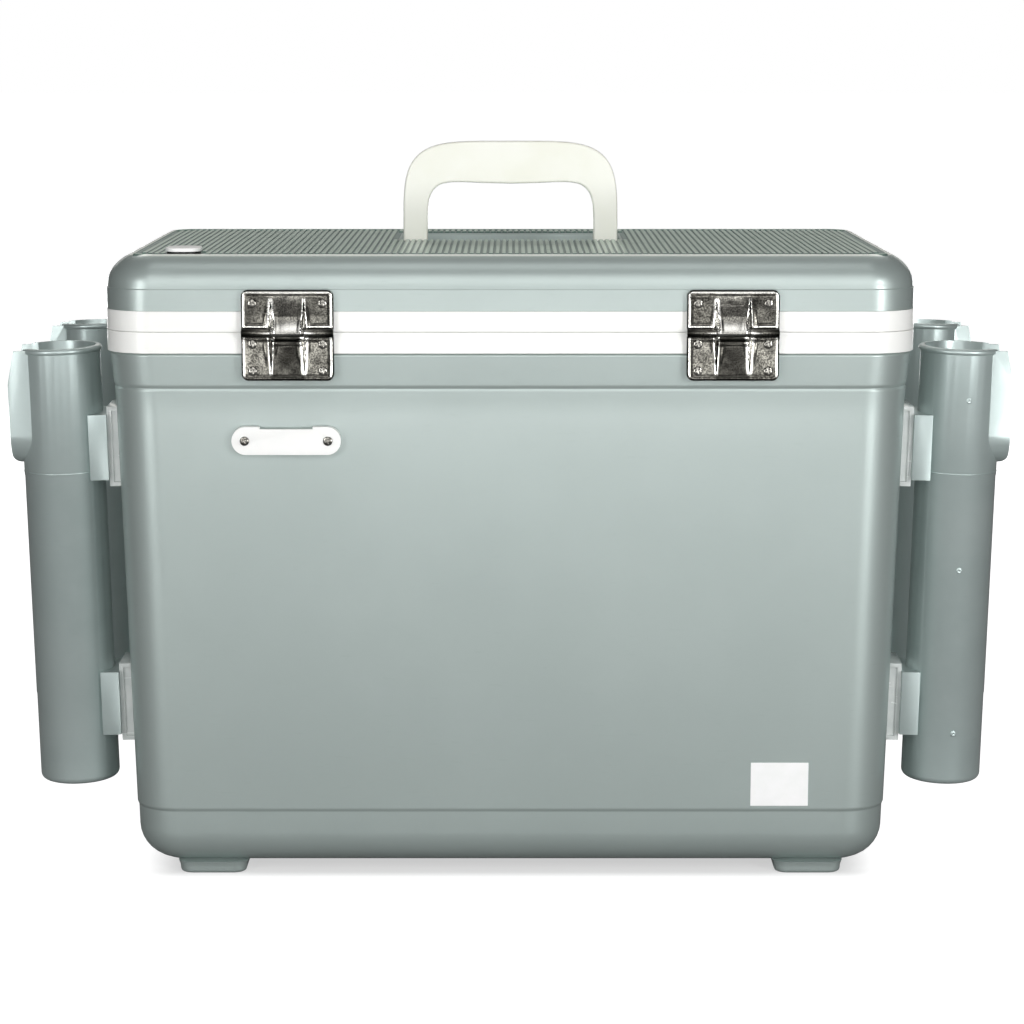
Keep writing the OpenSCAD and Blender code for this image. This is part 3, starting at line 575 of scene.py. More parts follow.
class Slot(Enum):
    """The part's finishes."""

    CASING = Finish("casing_plastic", (178, 190, 187), (174, 186, 183), rough_spread=0.03,
        metal=0.5, coat=0.35, coat_rough=0.13, cloud=90, grain=0.35, grain_depth=0.003,
        wave=80, wave_depth=0.2)
    # The cover adds painted shade between its ribs and painted highlight on their crests.
    COVER = replace(CASING, hollow=(82, 116, 108), crest=(172, 194, 180))
    TUBE = Finish("tube_plastic", (190, 203, 201), (182, 196, 194), rough=0.36,
        rough_spread=0.03, metal=0.55, coat=0.3, coat_rough=0.16, cloud=40, grain=0.35,
        grain_depth=0.004, wave=40, wave_depth=0.12)
    WHITE = Finish("white_plastic", (253, 253, 250), (250, 251, 247), rough=0.32, coat=0.1,
        cloud=50, grain_depth=0.003, wave=70, wave_depth=0.06)
    FITTING = Finish("fitting_plastic", (253, 253, 251), (250, 251, 249), rough=0.35,
        cloud=12, grain=0.4, grain_depth=0.004)
    HANDLE = Finish("handle_plastic", (252, 252, 243), (248, 248, 236), rough=0.42,
        cloud=30, grain=0.3, grain_depth=0.006)
    CLEAR = Finish("clear_plastic", (236, 240, 238), (222, 228, 226), rough=0.2, coat=0.6,
        coat_rough=0.05, clear=0.15, index=1.49, cloud=10, grain=0.6, wave=6, wave_depth=0.12)
    RUBBER = Finish("rubber", (26, 26, 27), (16, 16, 17), rough=0.7, cloud=8, grain=0.3,
        grain_depth=0.02)
    FOAM = Finish("foam", (236, 218, 158), (222, 200, 138), rough=0.9, cloud=14, grain=0.9,
        grain_depth=0.12, speck=0.4)
    PAPER = Finish("label_paper", (255, 255, 255), (249, 250, 249), rough=0.5, cloud=9,
        grain=0.25, grain_depth=0.006)
    SCREW = Finish("screw_steel", (158, 156, 150), (104, 102, 97), rough=0.16, metal=1.0,
        cloud=2.5, grain=0.3, speck=0.3)
    STEEL = Finish("polished_steel", (126, 124, 117), (48, 47, 43), rough=0.2, metal=1.0,
        cloud=9, grain=0.8, grain_depth=0.012, speck=0.75, wave=14, wave_depth=0.5,
        painted_light=True)


MATERIALS: dict[Slot, bpy.types.Material] = {}


def paint(piece: bpy.types.Object, slot: Slot) -> None:
    """Gives a piece the material of a slot, made once and shared.

    Args:
        piece: The object.
        slot: Its finish.
    """
    if slot not in MATERIALS:
        MATERIALS[slot] = slot.value.material()
    piece.data.materials.clear()
    piece.data.materials.append(MATERIALS[slot])


def dress(piece: bpy.types.Object, slot: Slot, body: str, *nodes: str) -> bpy.types.Object:
    """Paints a new piece, lets it ride on a body and stand for CAD nodes.

    Args:
        piece: The new piece.
        slot: Its finish.
        body: The body it moves with.
        nodes: The CAD nodes it replaces.

    Returns:
        The piece.
    """
    paint(piece, slot)
    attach(piece, body)
    if nodes:
        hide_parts(*nodes)
    LOG.info("%s stands for %s", piece.name, ", ".join(nodes) or "detail only")
    return piece


def keep(slot: Slot, *nodes: str) -> None:
    """Paints CAD nodes that stay shown.

    Args:
        slot: Their finish.
        nodes: The nodes.
    """
    for node in nodes:
        paint(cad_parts[node], slot)
        LOG.info("%s keeps its CAD shape", node)


# ------------------------------------------------------------------- the box


@dataclass(frozen=True)
class BoxSize:
    """Driving sizes of the box and its lid."""

    half_x: float = 241.5
    half_y: float = 140.0
    corner: float = 29.0
    floor_z: float = 6.0
    rim_top_z: float = 334.9
    rim_low_z: float = 322.25
    lid_low_z: float = 335.1
    lid_rim_z: float = 347.25
    lid_step_z: float = 360.0
    lid_top_z: float = 380.0
    draft: float = 1.7
    top_inset: float = 1.4
    waist_inset: float = 4.2
    waist_z: float = 290.25
    collar_line_z: float = 300.75
    base_step_z: float = 42.0
    wall: float = 3.0

    def wall_inset(self, z: float) -> float:
        """Inset of the casing's wall at a height: it grows downwards by the draft's tangent."""
        return self.waist_inset + (self.waist_z - z) * math.tan(math.radians(self.draft))

    def rim(self, inset: float, z: float, cut: float = 0.0, share: float = 0.8) -> Bend:
        """A bend set in from the rim, its corner radius falling by a share of the inset."""
        corner = max(self.corner - share * inset, 1.0)
        return Bend(self.half_x - inset, self.half_y - inset, corner, z, 0.0, cut)


@dataclass
class Box:
    """The grey casing on its feet and the white tub inside it."""

    size: BoxSize = field(default_factory=BoxSize)
    base_edge_x: float = 23.0
    base_edge_z: float = 22.0
    base_step: float = 0.8
    foot_x: float = 182.5
    foot_y: float = 97.0
    foot_length: float = 41.0
    foot_width: float = 46.0
    foot_edge: float = 2.5
    foot_flare_z: float = 5.0
    foot_root_z: float = 7.5
    collar_share: float = 0.76
    insulation: float = 30.0
    liner: float = 2.5
    well_floor_z: float = 40.0
    well_edge: float = 16.0

    def outside(self) -> list[Bend]:
        """Profile of the casing's outside, from under its floor to under the white rim."""
        s = self.size
        base = []
        for turn in range(0, 91, 10):
            angle = math.radians(turn)
            z = s.floor_z + self.base_edge_z * (1 - math.cos(angle))
            edge = self.base_edge_x * (1 - math.sin(angle))
            inset = s.wall_inset(z) + self.base_step
            base.append(Bend(s.half_x - inset - edge, s.half_y - inset - edge,
                s.corner - 0.2 * inset - 0.8 * edge, z))
        step, line = s.base_step_z, s.collar_line_z
        collar = s.top_inset + (s.waist_inset - s.top_inset) * self.collar_share
        return [
            s.rim(128, s.floor_z),
            *base,
            s.rim(s.wall_inset(step) + self.base_step, step - 0.8, 0.5, 0.2),
            s.rim(s.wall_inset(step), step + 0.8, 0.8, 0.2),
            s.rim(s.waist_inset, s.waist_z, 6.0, 0.2),
            s.rim(collar + 0.05, line - 1.0, 0.5, 0.2),
            s.rim(collar + 0.5, line + 0.2, 0.4, 0.2),
            s.rim(collar - 0.35, line + 2.0, 0.8, 0.2),
            s.rim(s.top_inset + 0.15, s.rim_low_z - 1.5, 0.5, 0.2),
            s.rim(s.top_inset + 0.9, s.rim_low_z - 0.3, 0.2, 0.2),
            s.rim(s.top_inset + 1.0, s.rim_low_z - 0.05, 0.0, 0.2),
        ]

    def casing(self) -> bpy.types.Object:
        """Lofts the casing with its wall and sets it on four rounded feet."""
        s = self.size
        lip = s.rim_top_z - 3.3
        inner_floor = s.floor_z + s.wall
        path = self.outside() + [
            s.rim(3.1, s.rim_low_z, 0.0, 0.2),
            s.rim(3.1, lip, 0.0, 0.2),
            s.rim(6.1, lip, 0.0, 0.2),
            s.rim(s.waist_inset + s.wall, s.waist_z, 0.0, 0.2),
            s.rim(s.wall_inset(40) + s.wall, 40, 12.0, 0.2),
            s.rim(45, inner_floor, 8.0, 0.4),
            s.rim(128, inner_floor),
        ]
        solid = Solid().loft(rings(rounded(path)))
        for x in (-self.foot_x, self.foot_x):
            for y in (-self.foot_y, self.foot_y):
                solid.loft(rings(self.foot()) + np.array([x, y, 0.0]))
        return solid.build("outer_casing_moulding")

    def foot(self) -> Array:
        """Levels of one foot: flat below, with a rounded lower edge and a flared root."""
        hx, hy = self.foot_length / 2, self.foot_width / 2
        path = [
            Bend(2, 4, 1, 0),
            Bend(hx - 0.4, hy - 0.4, 7.0, 0, 0, self.foot_edge),
            Bend(hx, hy, 7.0, self.foot_flare_z, 0, 1.5),
            Bend(hx + 1.0, hy + 1.0, 8.0, self.foot_root_z),
            Bend(2, 4, 1, self.foot_root_z + 1.0),
        ]
        return rounded(path)

    def tub(self) -> bpy.types.Object:
        """Lofts the white tub: its rim hangs over the casing and its well is rounded inside."""
        s = self.size
        lean = math.tan(math.radians(1.0))
        top, low, floor = s.rim_top_z, s.rim_low_z, self.well_floor_z
        outer, inner = self.insulation - self.liner, self.insulation
        drop = (top - floor) * lean
        path = [
            Bend(30, 20, 5, floor - self.liner),
            self.well(outer + drop, floor - self.liner, self.well_edge + self.liner, self.liner),
            self.well(outer, top - 3.2, 0.0, self.liner),
            s.rim(3.0, top - 3.2),
            s.rim(3.0, low),
            s.rim(0.0, low, 0.5),
            s.rim(0.0, top, 0.5),
            self.well(inner - 1.2, top, 0.6, -1.2),
            self.well(inner, top - 1.4, 0.8),
            self.well(inner + drop, floor, self.well_edge),
            Bend(30, 20, 5, floor),
        ]
        return Solid().loft(rings(rounded(path, 9))).build("inner_tub_moulding")

    def well(self, inset: float, z: float, cut: float = 0.0, grow: float = 0.0) -> Bend:
        """A bend of the well, whose corners have their own radius."""
        return Bend(self.size.half_x - inset, self.size.half_y - inset, 20.0 + grow, z, 0.0, cut)

    def build(self) -> None:
        """Makes and dresses the box's pieces."""
        dress(self.casing(), Slot.CASING, "box", "outer_casing")
        dress(self.tub(), Slot.WHITE, "box", "inner_tub")
        keep(Slot.FOAM, "body_insulation")
        keep(Slot.PAPER, "blank_label")


@dataclass
class Lid:
    """The ribbed lid cover with its handle well, the white liner and the hose port."""

    size: BoxSize = field(default_factory=BoxSize)
    edge_reach: float = 14.6
    shoulder_turn: int = 66
    bead: float = 1.0
    rib_pitch: float = 3.85
    rib_width: float = 3.2
    rib_back_y: float = -113.0
    rib_front_y: float = 118.0
    rib_field_x: float = 221.0
    rib_field_corner: float = 14.0
    recess_half_x: float = 71.0
    recess_low_y: float = 18.0
    recess_length: float = 81.0
    recess_floor_z: float = 365.0
    port_x: float = -198.0
    port_y: float = -98.0
    port_radius: float = 5.05
    hood_half_x: float = 10.5
    hood_half_y: float = 12.5
    hood_x: float = -195.2
    hood_y: float = -108.5

    @property
    def floor_z(self) -> float:
        """Height of the ribbed field's floor, one bead below the lid's top."""
        return self.size.lid_top_z - self.bead

    def recess(self, grow: float, z: float, cut: float = 0.0) -> Bend:
        """A bend of the handle's well."""
        half_y = self.recess_length / 2
        return Bend(self.recess_half_x + grow, half_y + grow, max(4.0 + grow, 0.5), z,
            self.recess_low_y + half_y, cut)

    def cover_profile(self) -> list[Bend]:
        """Profile of the cover: its side, the curved shoulder, the bead and the handle's well."""
        s = self.size
        top, floor = s.lid_top_z, self.floor_z
        last = math.radians(self.shoulder_turn)
        shoulder = []
        for turn in range(0, self.shoulder_turn + 1, 6):
            angle = math.radians(turn)
            rise = (top - 1.1 - s.lid_step_z) * (math.sin(angle) / math.sin(last))
            reach = (1 - math.cos(angle)) / (1 - math.cos(last))
            shoulder.append(s.rim(0.65 + self.edge_reach * reach, s.lid_step_z + 0.9 + rise))
        return [
            s.rim(120, s.lid_rim_z + 0.05),
            s.rim(0.25, s.lid_rim_z + 0.05, 0.25),
            s.rim(0.1, s.lid_step_z, 0.35),
            s.rim(0.6, s.lid_step_z + 0.35, 0.25),
            *shoulder,
            s.rim(self.edge_reach + 1.0, top, 1.0),
            s.rim(self.edge_reach + 2.2, top, 0.5),
            s.rim(self.edge_reach + 3.0, floor, 0.4),
            self.recess(1.4, floor, 0.5),
            self.recess(0.0, floor - 1.2, 0.8),
            self.recess(-0.3, self.recess_floor_z, 2.5),
            Bend(20, 10, 2, self.recess_floor_z, self.recess_low_y + self.recess_length / 2),
        ]

    def rib_spans(self, x: float) -> list[tuple[float, float]]:
        """Where a rib runs: round the field's corners, the handle's well and the hose port.

        Args:
            x: Place of the rib along the lid.

        Returns:
            The start and end of each stretch.
        """
        past = max(abs(x) - (self.rib_field_x - self.rib_field_corner), 0.0)
        trim = self.rib_field_corner - math.sqrt(self.rib_field_corner**2 - past**2)
        low, high = self.rib_back_y + trim, self.rib_front_y - trim
        if abs(x - self.hood_x) < self.hood_half_x + 1.5:
            low = self.hood_y + self.hood_half_y + 1.0
        if abs(x) < self.recess_half_x + 2.5:
            recess_high = self.recess_low_y + self.recess_length
            return [(low, self.recess_low_y - 1.8), (recess_high + 1.8, high)]
        return [(low, high)]

    def rib(self, x: float, low: float, high: float) -> Array:
        """One rib: half an ellipse across, its height and width easing to nothing at both ends."""
        ease = np.array([0.15, 0.6, 0.88, 1.0])
        along = np.array([0.0, 0.25, 0.7, 1.5])
        y = np.concatenate([low + along, high - along[::-1]])
        share = np.concatenate([ease, ease[::-1]])[:, None]
        turn = np.radians(np.linspace(-30, 210, 11))[None, :]
        across = x + self.rib_width / 2 * np.cos(turn) * np.sqrt(share)
        z = self.floor_z + np.maximum(np.sin(turn) * self.bead * share, -0.4)
        return np.stack([across, np.broadcast_to(y[:, None], across.shape), z], axis=-1)

    def cover(self) -> bpy.types.Object:
        """Lofts the cover and lays the ribs on it."""
        solid = Solid().loft(rings(rounded(self.cover_profile())))
        count = int(self.rib_field_x / self.rib_pitch)
        for number in range(-count, count + 1):
            x = number * self.rib_pitch
            for low, high in self.rib_spans(x):
                solid.loft(self.rib(x, low, high))
        return solid.build("lid_cover_moulding")

    def liner(self) -> bpy.types.Object:
        """Lofts the liner: a white band outside and a shallow hollow over the well."""
        s = self.size
        low, top, hollow = s.lid_low_z, s.lid_rim_z, s.lid_low_z + 10
        inner = Bend(s.half_x - 30, s.half_y - 30, 20, low, 0, 1.5)
        roof = Bend(s.half_x - 30.5, s.half_y - 30.5, 20, hollow, 0, 4.0)
        path = [
            Bend(30, 20, 5, hollow),
            roof,
            inner,
            s.rim(18.4, low, 0.3),
            s.rim(18.4, low + 2.2, 0.3),
            s.rim(10.6, low + 2.2, 0.3),
            s.rim(10.6, low, 0.3),
            s.rim(0.0, low, 0.5),
            s.rim(0.0, top, 0.25),
            s.rim(26.0, top),
            s.rim(27.5, top + 0.5),
            Bend(30, 20, 5, top + 0.5),
        ]
        return Solid().loft(rings(rounded(path))).build("lid_liner_moulding")

    def pad(self, grow: float, z: float, cut: float = 0.0) -> Bend:
        """A bend of the hood over the hose port, smaller or larger than its outline."""
        return Bend(self.hood_half_x + grow, self.hood_half_y + grow, 8.0 + grow, z, self.hood_y, cut)

    def padded(self, rows: Sequence[tuple[float, ...]]) -> Array:
        """Rings of the hood or of the dark pad under it: each row grows the pad, lifts it and may cut
        it.
        """
        top = self.size.lid_top_z
        path = [self.pad(row[0], top + row[1], *row[2:]) for row in rows]
        return rings(rounded(path)) + np.array([self.hood_x, 0.0, 0.0])

    def port_ring(self, radius: float, z: float) -> Array:
        """A ring of points round the hose's hole."""
        turn = turns(48)
        x, y = self.port_x + radius * np.cos(turn), self.port_y + radius * np.sin(turn)
        return np.column_stack([x, y, np.full(len(turn), z)])

    def hood(self) -> bpy.types.Object:
        """Lofts the white hood: a rounded slab on a neck, with a low slot all round."""
        neck = [(-7.0, -1.1), (-4.0, -1.1), (-4.0, 1.35)]
        slab = [(0.0, 1.0, 0.3), (0.0, 3.3, 0.9), (-7.0, 3.3)]
        return Solid().loft(self.padded(neck + slab)).build("hose_port_hood_dome")

    def shade_pad_and_sleeve(self) -> bpy.types.Object:
        """Lofts a black pad under the hood as painted shade in its slot, and the rubber grommet's
        sleeve down the hose's hole.
        """
        top, flange, low = self.size.lid_top_z - 1.0, 338.0, 336.2
        levels = [(5.0, top), (5.0, flange), (7.0, flange), (7.0, low), (2.6, low), (2.6, top)]
        sleeve = np.stack([self.port_ring(radius, z) for radius, z in levels])
        # The pad is painted shade: a black sheet filling the slot under the hood, where shadow falls.
        pad = self.padded([(-7.5, -1.05), (-0.9, -1.05), (-0.9, 1.3, 0.3), (-7.5, 1.3)])
        return Solid().loft(pad).loft(sleeve).build("hose_port_shade_pad_and_sleeve")

    def port_hole(self, piece: bpy.types.Object) -> None:
        """Cuts the air hose's hole through a piece of the lid."""
        levels = np.stack([self.port_ring(self.port_radius, z) for z in (330.0, 390.0)])
        cutter = Solid().loft(levels).build("port_cutter")
        cut = piece.modifiers.new("port", "BOOLEAN")
        cut.object = cutter
        cut.operation = "DIFFERENCE"
        cut.solver = "EXACT"
        bpy.context.view_layer.update()
        graph = bpy.context.evaluated_depsgraph_get()
        mesh = bpy.data.meshes.new_from_object(piece.evaluated_get(graph))
        piece.modifiers.remove(cut)
        piece.data = mesh
        bpy.data.objects.remove(cutter)

    def build(self) -> None:
        """Makes and dresses the lid's pieces."""
        cover, liner = self.cover(), self.liner()
        self.port_hole(liner)
        dress(cover, Slot.COVER, "lid", "lid_cover")
        dress(liner, Slot.WHITE, "lid", "lid_liner")
        dress(self.hood(), Slot.FITTING, "lid", "hose_port_hood")
        dress(self.shade_pad_and_sleeve(), Slot.RUBBER, "lid", "hose_grommet")
        keep(Slot.RUBBER, "lid_gasket")
        keep(Slot.FOAM, "lid_insulation")
        keep(Slot.SCREW, "handle_pin_left", "handle_pin_right")


@dataclass
class Handle:
    """The folding handle: an arch with a rounded rectangle for its section."""

    half_width: float = 68.5
    top_z: float = 442.0
    spring_z: float = 380.0
    leg: float = 15.5
    bar: float = 24.0
    bow: float = 3.0
    bow_half: float = 45.0
    pivot_y: float = 25.0
    pivot_z: float = 373.0
    depth: float = 12.0
    edge: float = 1.7
    outer_power: float = 4.6
    inner_power: float = 5.3

    def outlines(self) -> tuple[Array, Array, Array]:
        """Pairs of outer and inner points along the arch, with the half depth at each.

        The outer line is a superellipse |x/a|^p + |z/h|^p = 1 above the spring height,
        and the inner one the same with its own power and a downward bow in the middle.
        Below that height both are straight, and each leg's end is half a circle.

        Returns:
            Outer points and inner points as x and z, and half depths.
        """
        share = np.linspace(0.0, 1.0, 46) ** 1.7
        turn = np.concatenate([share * math.pi / 2, math.pi - share[-2::-1] * math.pi / 2])
        cos, sin = np.cos(turn), np.sin(turn)
        inner_half = self.half_width - self.leg
        rise = self.top_z - self.spring_z

        def arch(half: float, rise: float, power: float) -> Array:
            x = half * np.sign(cos) * np.abs(cos) ** (2 / power)
            return np.column_stack([x, self.spring_z + rise * np.abs(sin) ** (2 / power)])

        outer = arch(self.half_width, rise, self.outer_power)
        inner = arch(inner_half, rise - self.bar, self.inner_power)
        inner[:, 1] -= self.bow * np.maximum(0.0, 1 - (inner[:, 0] / self.bow_half) ** 2)
        end = np.radians(np.linspace(84, 0, 8))
        radius = self.depth / 2
        low = self.pivot_z - radius * np.sin(end)
        climb = np.linspace(0.0, 1.0, 8)[1:-1]
        leg = np.concatenate([low, self.pivot_z + (self.spring_z - self.pivot_z) * climb])
        half_depth = np.concatenate([radius * np.cos(end), np.full(len(climb), radius)])
        right_outer = np.column_stack([np.full(len(leg), self.half_width), leg])
        right_inner = np.column_stack([np.full(len(leg), inner_half), leg])
        mirror = np.array([-1.0, 1.0])
        outer = np.concatenate([right_outer, outer, right_outer[::-1] * mirror])
        inner = np.concatenate([right_inner, inner, right_inner[::-1] * mirror])
        depth = np.concatenate([half_depth, np.full(len(turn), radius), half_depth[::-1]])
        return outer, inner, depth

    def grip(self) -> bpy.types.Object:
        """Lofts the arch from leg to leg."""
        outer, inner, half_depth = self.outlines()
        width = np.linalg.norm(outer - inner, axis=1)
        edge = np.minimum(self.edge, half_depth * 0.9)
        across, y = loop(width / 2, half_depth, edge, 8)
        share = across / width[:, None] + 0.5
        x = inner[:, 0, None] + (outer - inner)[:, 0, None] * share
        z = inner[:, 1, None] + (outer - inner)[:, 1, None] * share
        return Solid().loft(np.stack([x, y + self.pivot_y, z], axis=-1)).build("handle_grip")

    def build(self) -> None:
        """Makes and dresses the handle."""
        dress(self.grip(), Slot.HANDLE, "carry_handle", "handle")


# ------------------------------------------------------------ steel fittings


class Knuckle(Enum):
    """Which part of a plate is rolled round the pin."""

    CENTRE = "centre"
    SIDES = "sides"


@dataclass(frozen=True)
class Plate:
    """A stamped steel plate with rolled edges, two slits and knuckles round a pin.

    Args:
        x: Middle of the plate along the box.
        axis_z: Height of the pin.
        up: 1 if the plate rises from the pin, -1 if it hangs below it.
        reach: Distance from the pin to the plate's far edge.
        side: -1 on the hinge side, 1 on the latch side.
        knuckle: Which part holds the pin.
        back: How far the plate reaches back behind the rim's face.
        slit: Share of the plate's height that the slits run.
        half_width: Half the plate's length along the box.
        face: How far its face stands out from the rim.
        corner: Radius of its two far corners.
        roll: Radius of its rolled edges.
        rim_y: Distance of the rim's face from the middle.
        pin_out: How far the pin's axis stands out from the rim.
        knuckle_radius: Radius of the rolled knuckles.
        slit_x: Distance of each slit from the plate's middle.
        slit_half: Half the slit's width at the pin.
        slit_depth: Depth of the slits.
        side_start: Where the sides begin, away from the pin.
        gap_start: Where the middle panel begins if the sides hold the pin.
        gap_sink: How far before that its edge sinks.
        dish: How far the flat face lies below its rolled edge.
        ridge: Height of the ridges beside the slits.
        crown: Height of the middle panel's crown if it holds the pin.
        sag: Its fall if it doesn't.
        tongue: How far the middle panel climbs to the pin.
        blend: Distance over which face and knuckle run into each other.
    """

    x: float
    axis_z: float
    up: int
    reach: float
    side: int
    knuckle: Knuckle
    back: float
    slit: float = 0.72
    half_width: float = 27.25
    face: float = 4.5
    corner: float = 4.0
    roll: float = 1.6
    rim_y: float = 140.0
    pin_out: float = 5.0
    knuckle_radius: float = 2.5
    slit_x: float = 9.8
    slit_half: float = 1.25
    slit_depth: float = 3.6
    side_start: float = 2.1
    gap_start: float = 4.6
    gap_sink: float = 2.0
    dish: float = 0.22
    ridge: float = 0.6
    crown: float = 0.9
    sag: float = 0.5
    tongue: float = 2.6
    blend: float = 1.6

    @property
    def central(self) -> bool:
        """Whether the middle panel holds the pin."""
        return self.knuckle is Knuckle.CENTRE

    def slit_width(self, s: Array) -> Array:
        """Half width of a slit, which narrows evenly from the pin to the slit's end."""
        end = self.reach * self.slit
        return self.slit_half * np.clip((end - s) / end, 0.0, 1.0)

    def starts(self, x: Array) -> Array:
        """Where the plate begins, away from the pin: nearer where it holds the pin."""
        middle = 0.0 if self.central else self.gap_start - self.gap_sink
        return np.where(np.abs(x) < self.slit_x, middle, self.side_start)

    def heights(self, x: Array, s: Array) -> Array:
        """Height of the plate's face over the rim.

        The face is flat, with a quarter circle at its edges, and dished inside them.
        Each slit is a smooth-step trench that narrows away from the pin, between two
        bell-shaped ridges. The middle panel is crowned and climbs to the pin where it
        holds it, and sags and stops short of the pin where it doesn't. Where the plate
        holds the pin, the face rises to the knuckle: the larger of the two, blended by
        k/4 (1 - |difference|/k)^2 within k = blend.

        Args:
            x: Places along the plate from its middle.
            s: Distances from the pin.

        Returns:
            Heights in millimetres.
        """
        across = np.abs(x) - (self.half_width - self.corner)
        along = s - (self.reach - self.corner)
        outside = np.hypot(np.maximum(across, 0), np.maximum(along, 0))
        distance = self.corner - outside - np.minimum(np.maximum(across, along), 0.0)
        panel = np.abs(x) < self.slit_x
        short = panel & (not self.central)
        start = np.where(panel, -3.0 if self.central else self.gap_start, self.side_start)
        distance = np.minimum(distance, s - start + 0.15)
        near = 1 - np.clip(distance / self.roll, 0, 1)
        sunk = smooth_step(distance, -0.5, 0.1)
        face = self.face - self.roll * (1 - np.sqrt(1 - near**2))
        face = face - self.dish * smooth_step(distance, self.roll + 0.2, self.roll + 2.4)
        half = self.slit_width(s)
        beside = np.abs(np.abs(x) - self.slit_x) - half
        live = smooth_step(self.reach * self.slit - s, -1.5, 1.5)
        near_pin = 1 - smooth_step(s, 2.0, self.reach - 5.0)
        middle = np.maximum(1 - (x / (self.slit_x - 1.0)) ** 2, 0.0)
        face = face + (self.crown if self.central else -self.sag) * middle * near_pin
        face = face + self.ridge * near_pin * bell(beside, 1.4, 1.3)
        face = face - self.slit_depth * live * (half > 0) * (1 - smooth_step(beside, -0.15, 0.3))
        if self.central:
            tongue = 1 - smooth_step(np.abs(x), self.slit_x - 1.6, self.slit_x - 0.6)
            face = face + self.tongue * tongue * (1 - smooth_step(s, 0.5, 10.0))
        face = face * np.where(short, sunk, 1.0) + np.where(short, 1 - sunk, 0.0) * 0.4
        roll = self.pin_out + np.sqrt(np.maximum(self.knuckle_radius**2 - s**2, 0.0)) - 0.1
        holds = np.abs(x) > self.slit_x + 0.6
        if self.central:
            holds = np.abs(x) < self.slit_x - 0.6
        roll = np.where(holds & (s < self.knuckle_radius + 1.5), roll, 0.0)
        mix = np.maximum(self.blend - np.abs(face - roll), 0.0) / self.blend
        return np.where(roll > 0, np.maximum(face, roll) + mix**2 * self.blend * 0.25, face)

    def place(self, x: Array, out: Array, s: Array) -> Array:
        """Turns plate coordinates into the part's frame."""
        y = self.side * (self.rim_y + out)
        return np.stack(np.broadcast_arrays(self.x + x, y, self.axis_z + self.up * s), axis=-1)

    def sheet(self) -> Array:
        """Rings of the plate from its pin to its far edge, each its face and its back."""
        share = np.linspace(0.0, 1.0, 74)[:, None]
        columns = np.linspace(-1.0, 1.0, 219)[None, :] * self.half_width
        start = self.starts(columns)
        s = start + (self.reach - start) * share
        left = np.clip(self.corner - (self.reach - s), 0.0, self.corner)
        half = self.half_width - self.corner + np.sqrt(self.corner**2 - left**2)
        x = columns * half / self.half_width
        front = self.place(x, self.heights(x, s), s)
        back = self.place(x, np.full_like(x, -self.back), s)
        return np.concatenate([front, back[:, ::-1]], axis=1)

    def barrel(self, low: float, high: float) -> Array:
        """One rolled knuckle: a cylinder whose ends are rounded over."""
        edge = 0.35
        x = np.array([low, low + 0.1, low + edge, high - edge, high - 0.1, high])
        radius = (self.knuckle_radius - np.array([edge, 0.12, 0.0, 0.0, 0.12, edge]))[:, None]
        turn = turns(40)
        out = self.pin_out + radius * np.cos(turn)
        return self.place(np.broadcast_to(x[:, None], out.shape), out, radius * np.sin(turn))

    def paint_plate_light(self, made: bpy.types.Object) -> bpy.types.Object:
        """Writes the polish attribute: 1 for painted highlights, below 0 for painted shade.

        The painted highlights are a bell curve exp(-(u / w)^2) along the rolled sides, one along
        each slit and a flare that widens towards the pin; the middle panel of a plate whose
        sides hold the pin gets painted shade, and so do the outer edges.

        Args:
            made: The plate's object.

        Returns:
            The same object.
        """
        mesh = made.data
        points = np.empty(len(mesh.vertices) * 3, np.float32)
        mesh.vertices.foreach_get("co", points)
        points = points.reshape(-1, 3) / MM
        x = points[:, 0] - self.x
        s = (points[:, 2] - self.axis_z) * self.up
        edge = self.half_width - np.abs(x)
        beside = np.abs(np.abs(x) - self.slit_x) - self.slit_width(s)
        run = smooth_step(self.reach * self.slit + 3.5 - s, 0.0, 3.0)
        rolled = bell(edge, 1.5, 0.65) * smooth_step(self.reach - s, 1.0, 3.0)
        flare = run * bell(beside, 0.55, 0.4 + 0.7 * run * (x * self.up < 0))
        aside = np.abs(x) > self.slit_x + 0.5
        lip = bell(s - self.side_start, 1.5, 0.5) * aside * (self.up > 0)
        pin = bell(s, 0.0, 0.6) * aside * (not self.central)
        crown = bell(self.reach - s, 1.5, 0.5) * 0.7 * (self.up > 0)
        # Painted highlights where lamps would glint: rolled sides, slit edges, lips, pin and crown.
        bright = np.clip(rolled + flare + 0.9 * lip + 0.8 * pin + crown, 0.0, 1.0)
        panel = np.abs(x) < self.slit_x
        # Painted shade on the panels that lie back from the lamps.
        dark = np.where(panel, -0.1, 0.3) if self.central else np.where(panel, 0.62, -0.03)
        glint = bell(s, 3.0, 3.0) * panel * self.central * 0.35
        # Painted shade along the plate's outer edges.
        rim = smooth_step(-np.minimum(edge, self.reach - s), -1.0, -0.5)
        value = np.where(bright > 0.12, bright, np.maximum(glint, 0.0) - dark) * (1 - rim) - rim
        layer = mesh.attributes.new("painted_light", "FLOAT", "POINT")
        layer.data.foreach_set("value", value.astype(np.float32))
        return made

    def build(self, name: str) -> bpy.types.Object:
        """Makes the plate with its knuckles."""
        solid = Solid().loft(self.sheet())
        gap = 0.25
        if self.central:
            solid.loft(self.barrel(gap - self.slit_x, self.slit_x - gap))
        else:
            solid.loft(self.barrel(-self.half_width + 0.1, -self.slit_x - gap))
            solid.loft(self.barrel(self.slit_x + gap, self.half_width - 0.1))
        return self.paint_plate_light(solid.build(name, 50.0))


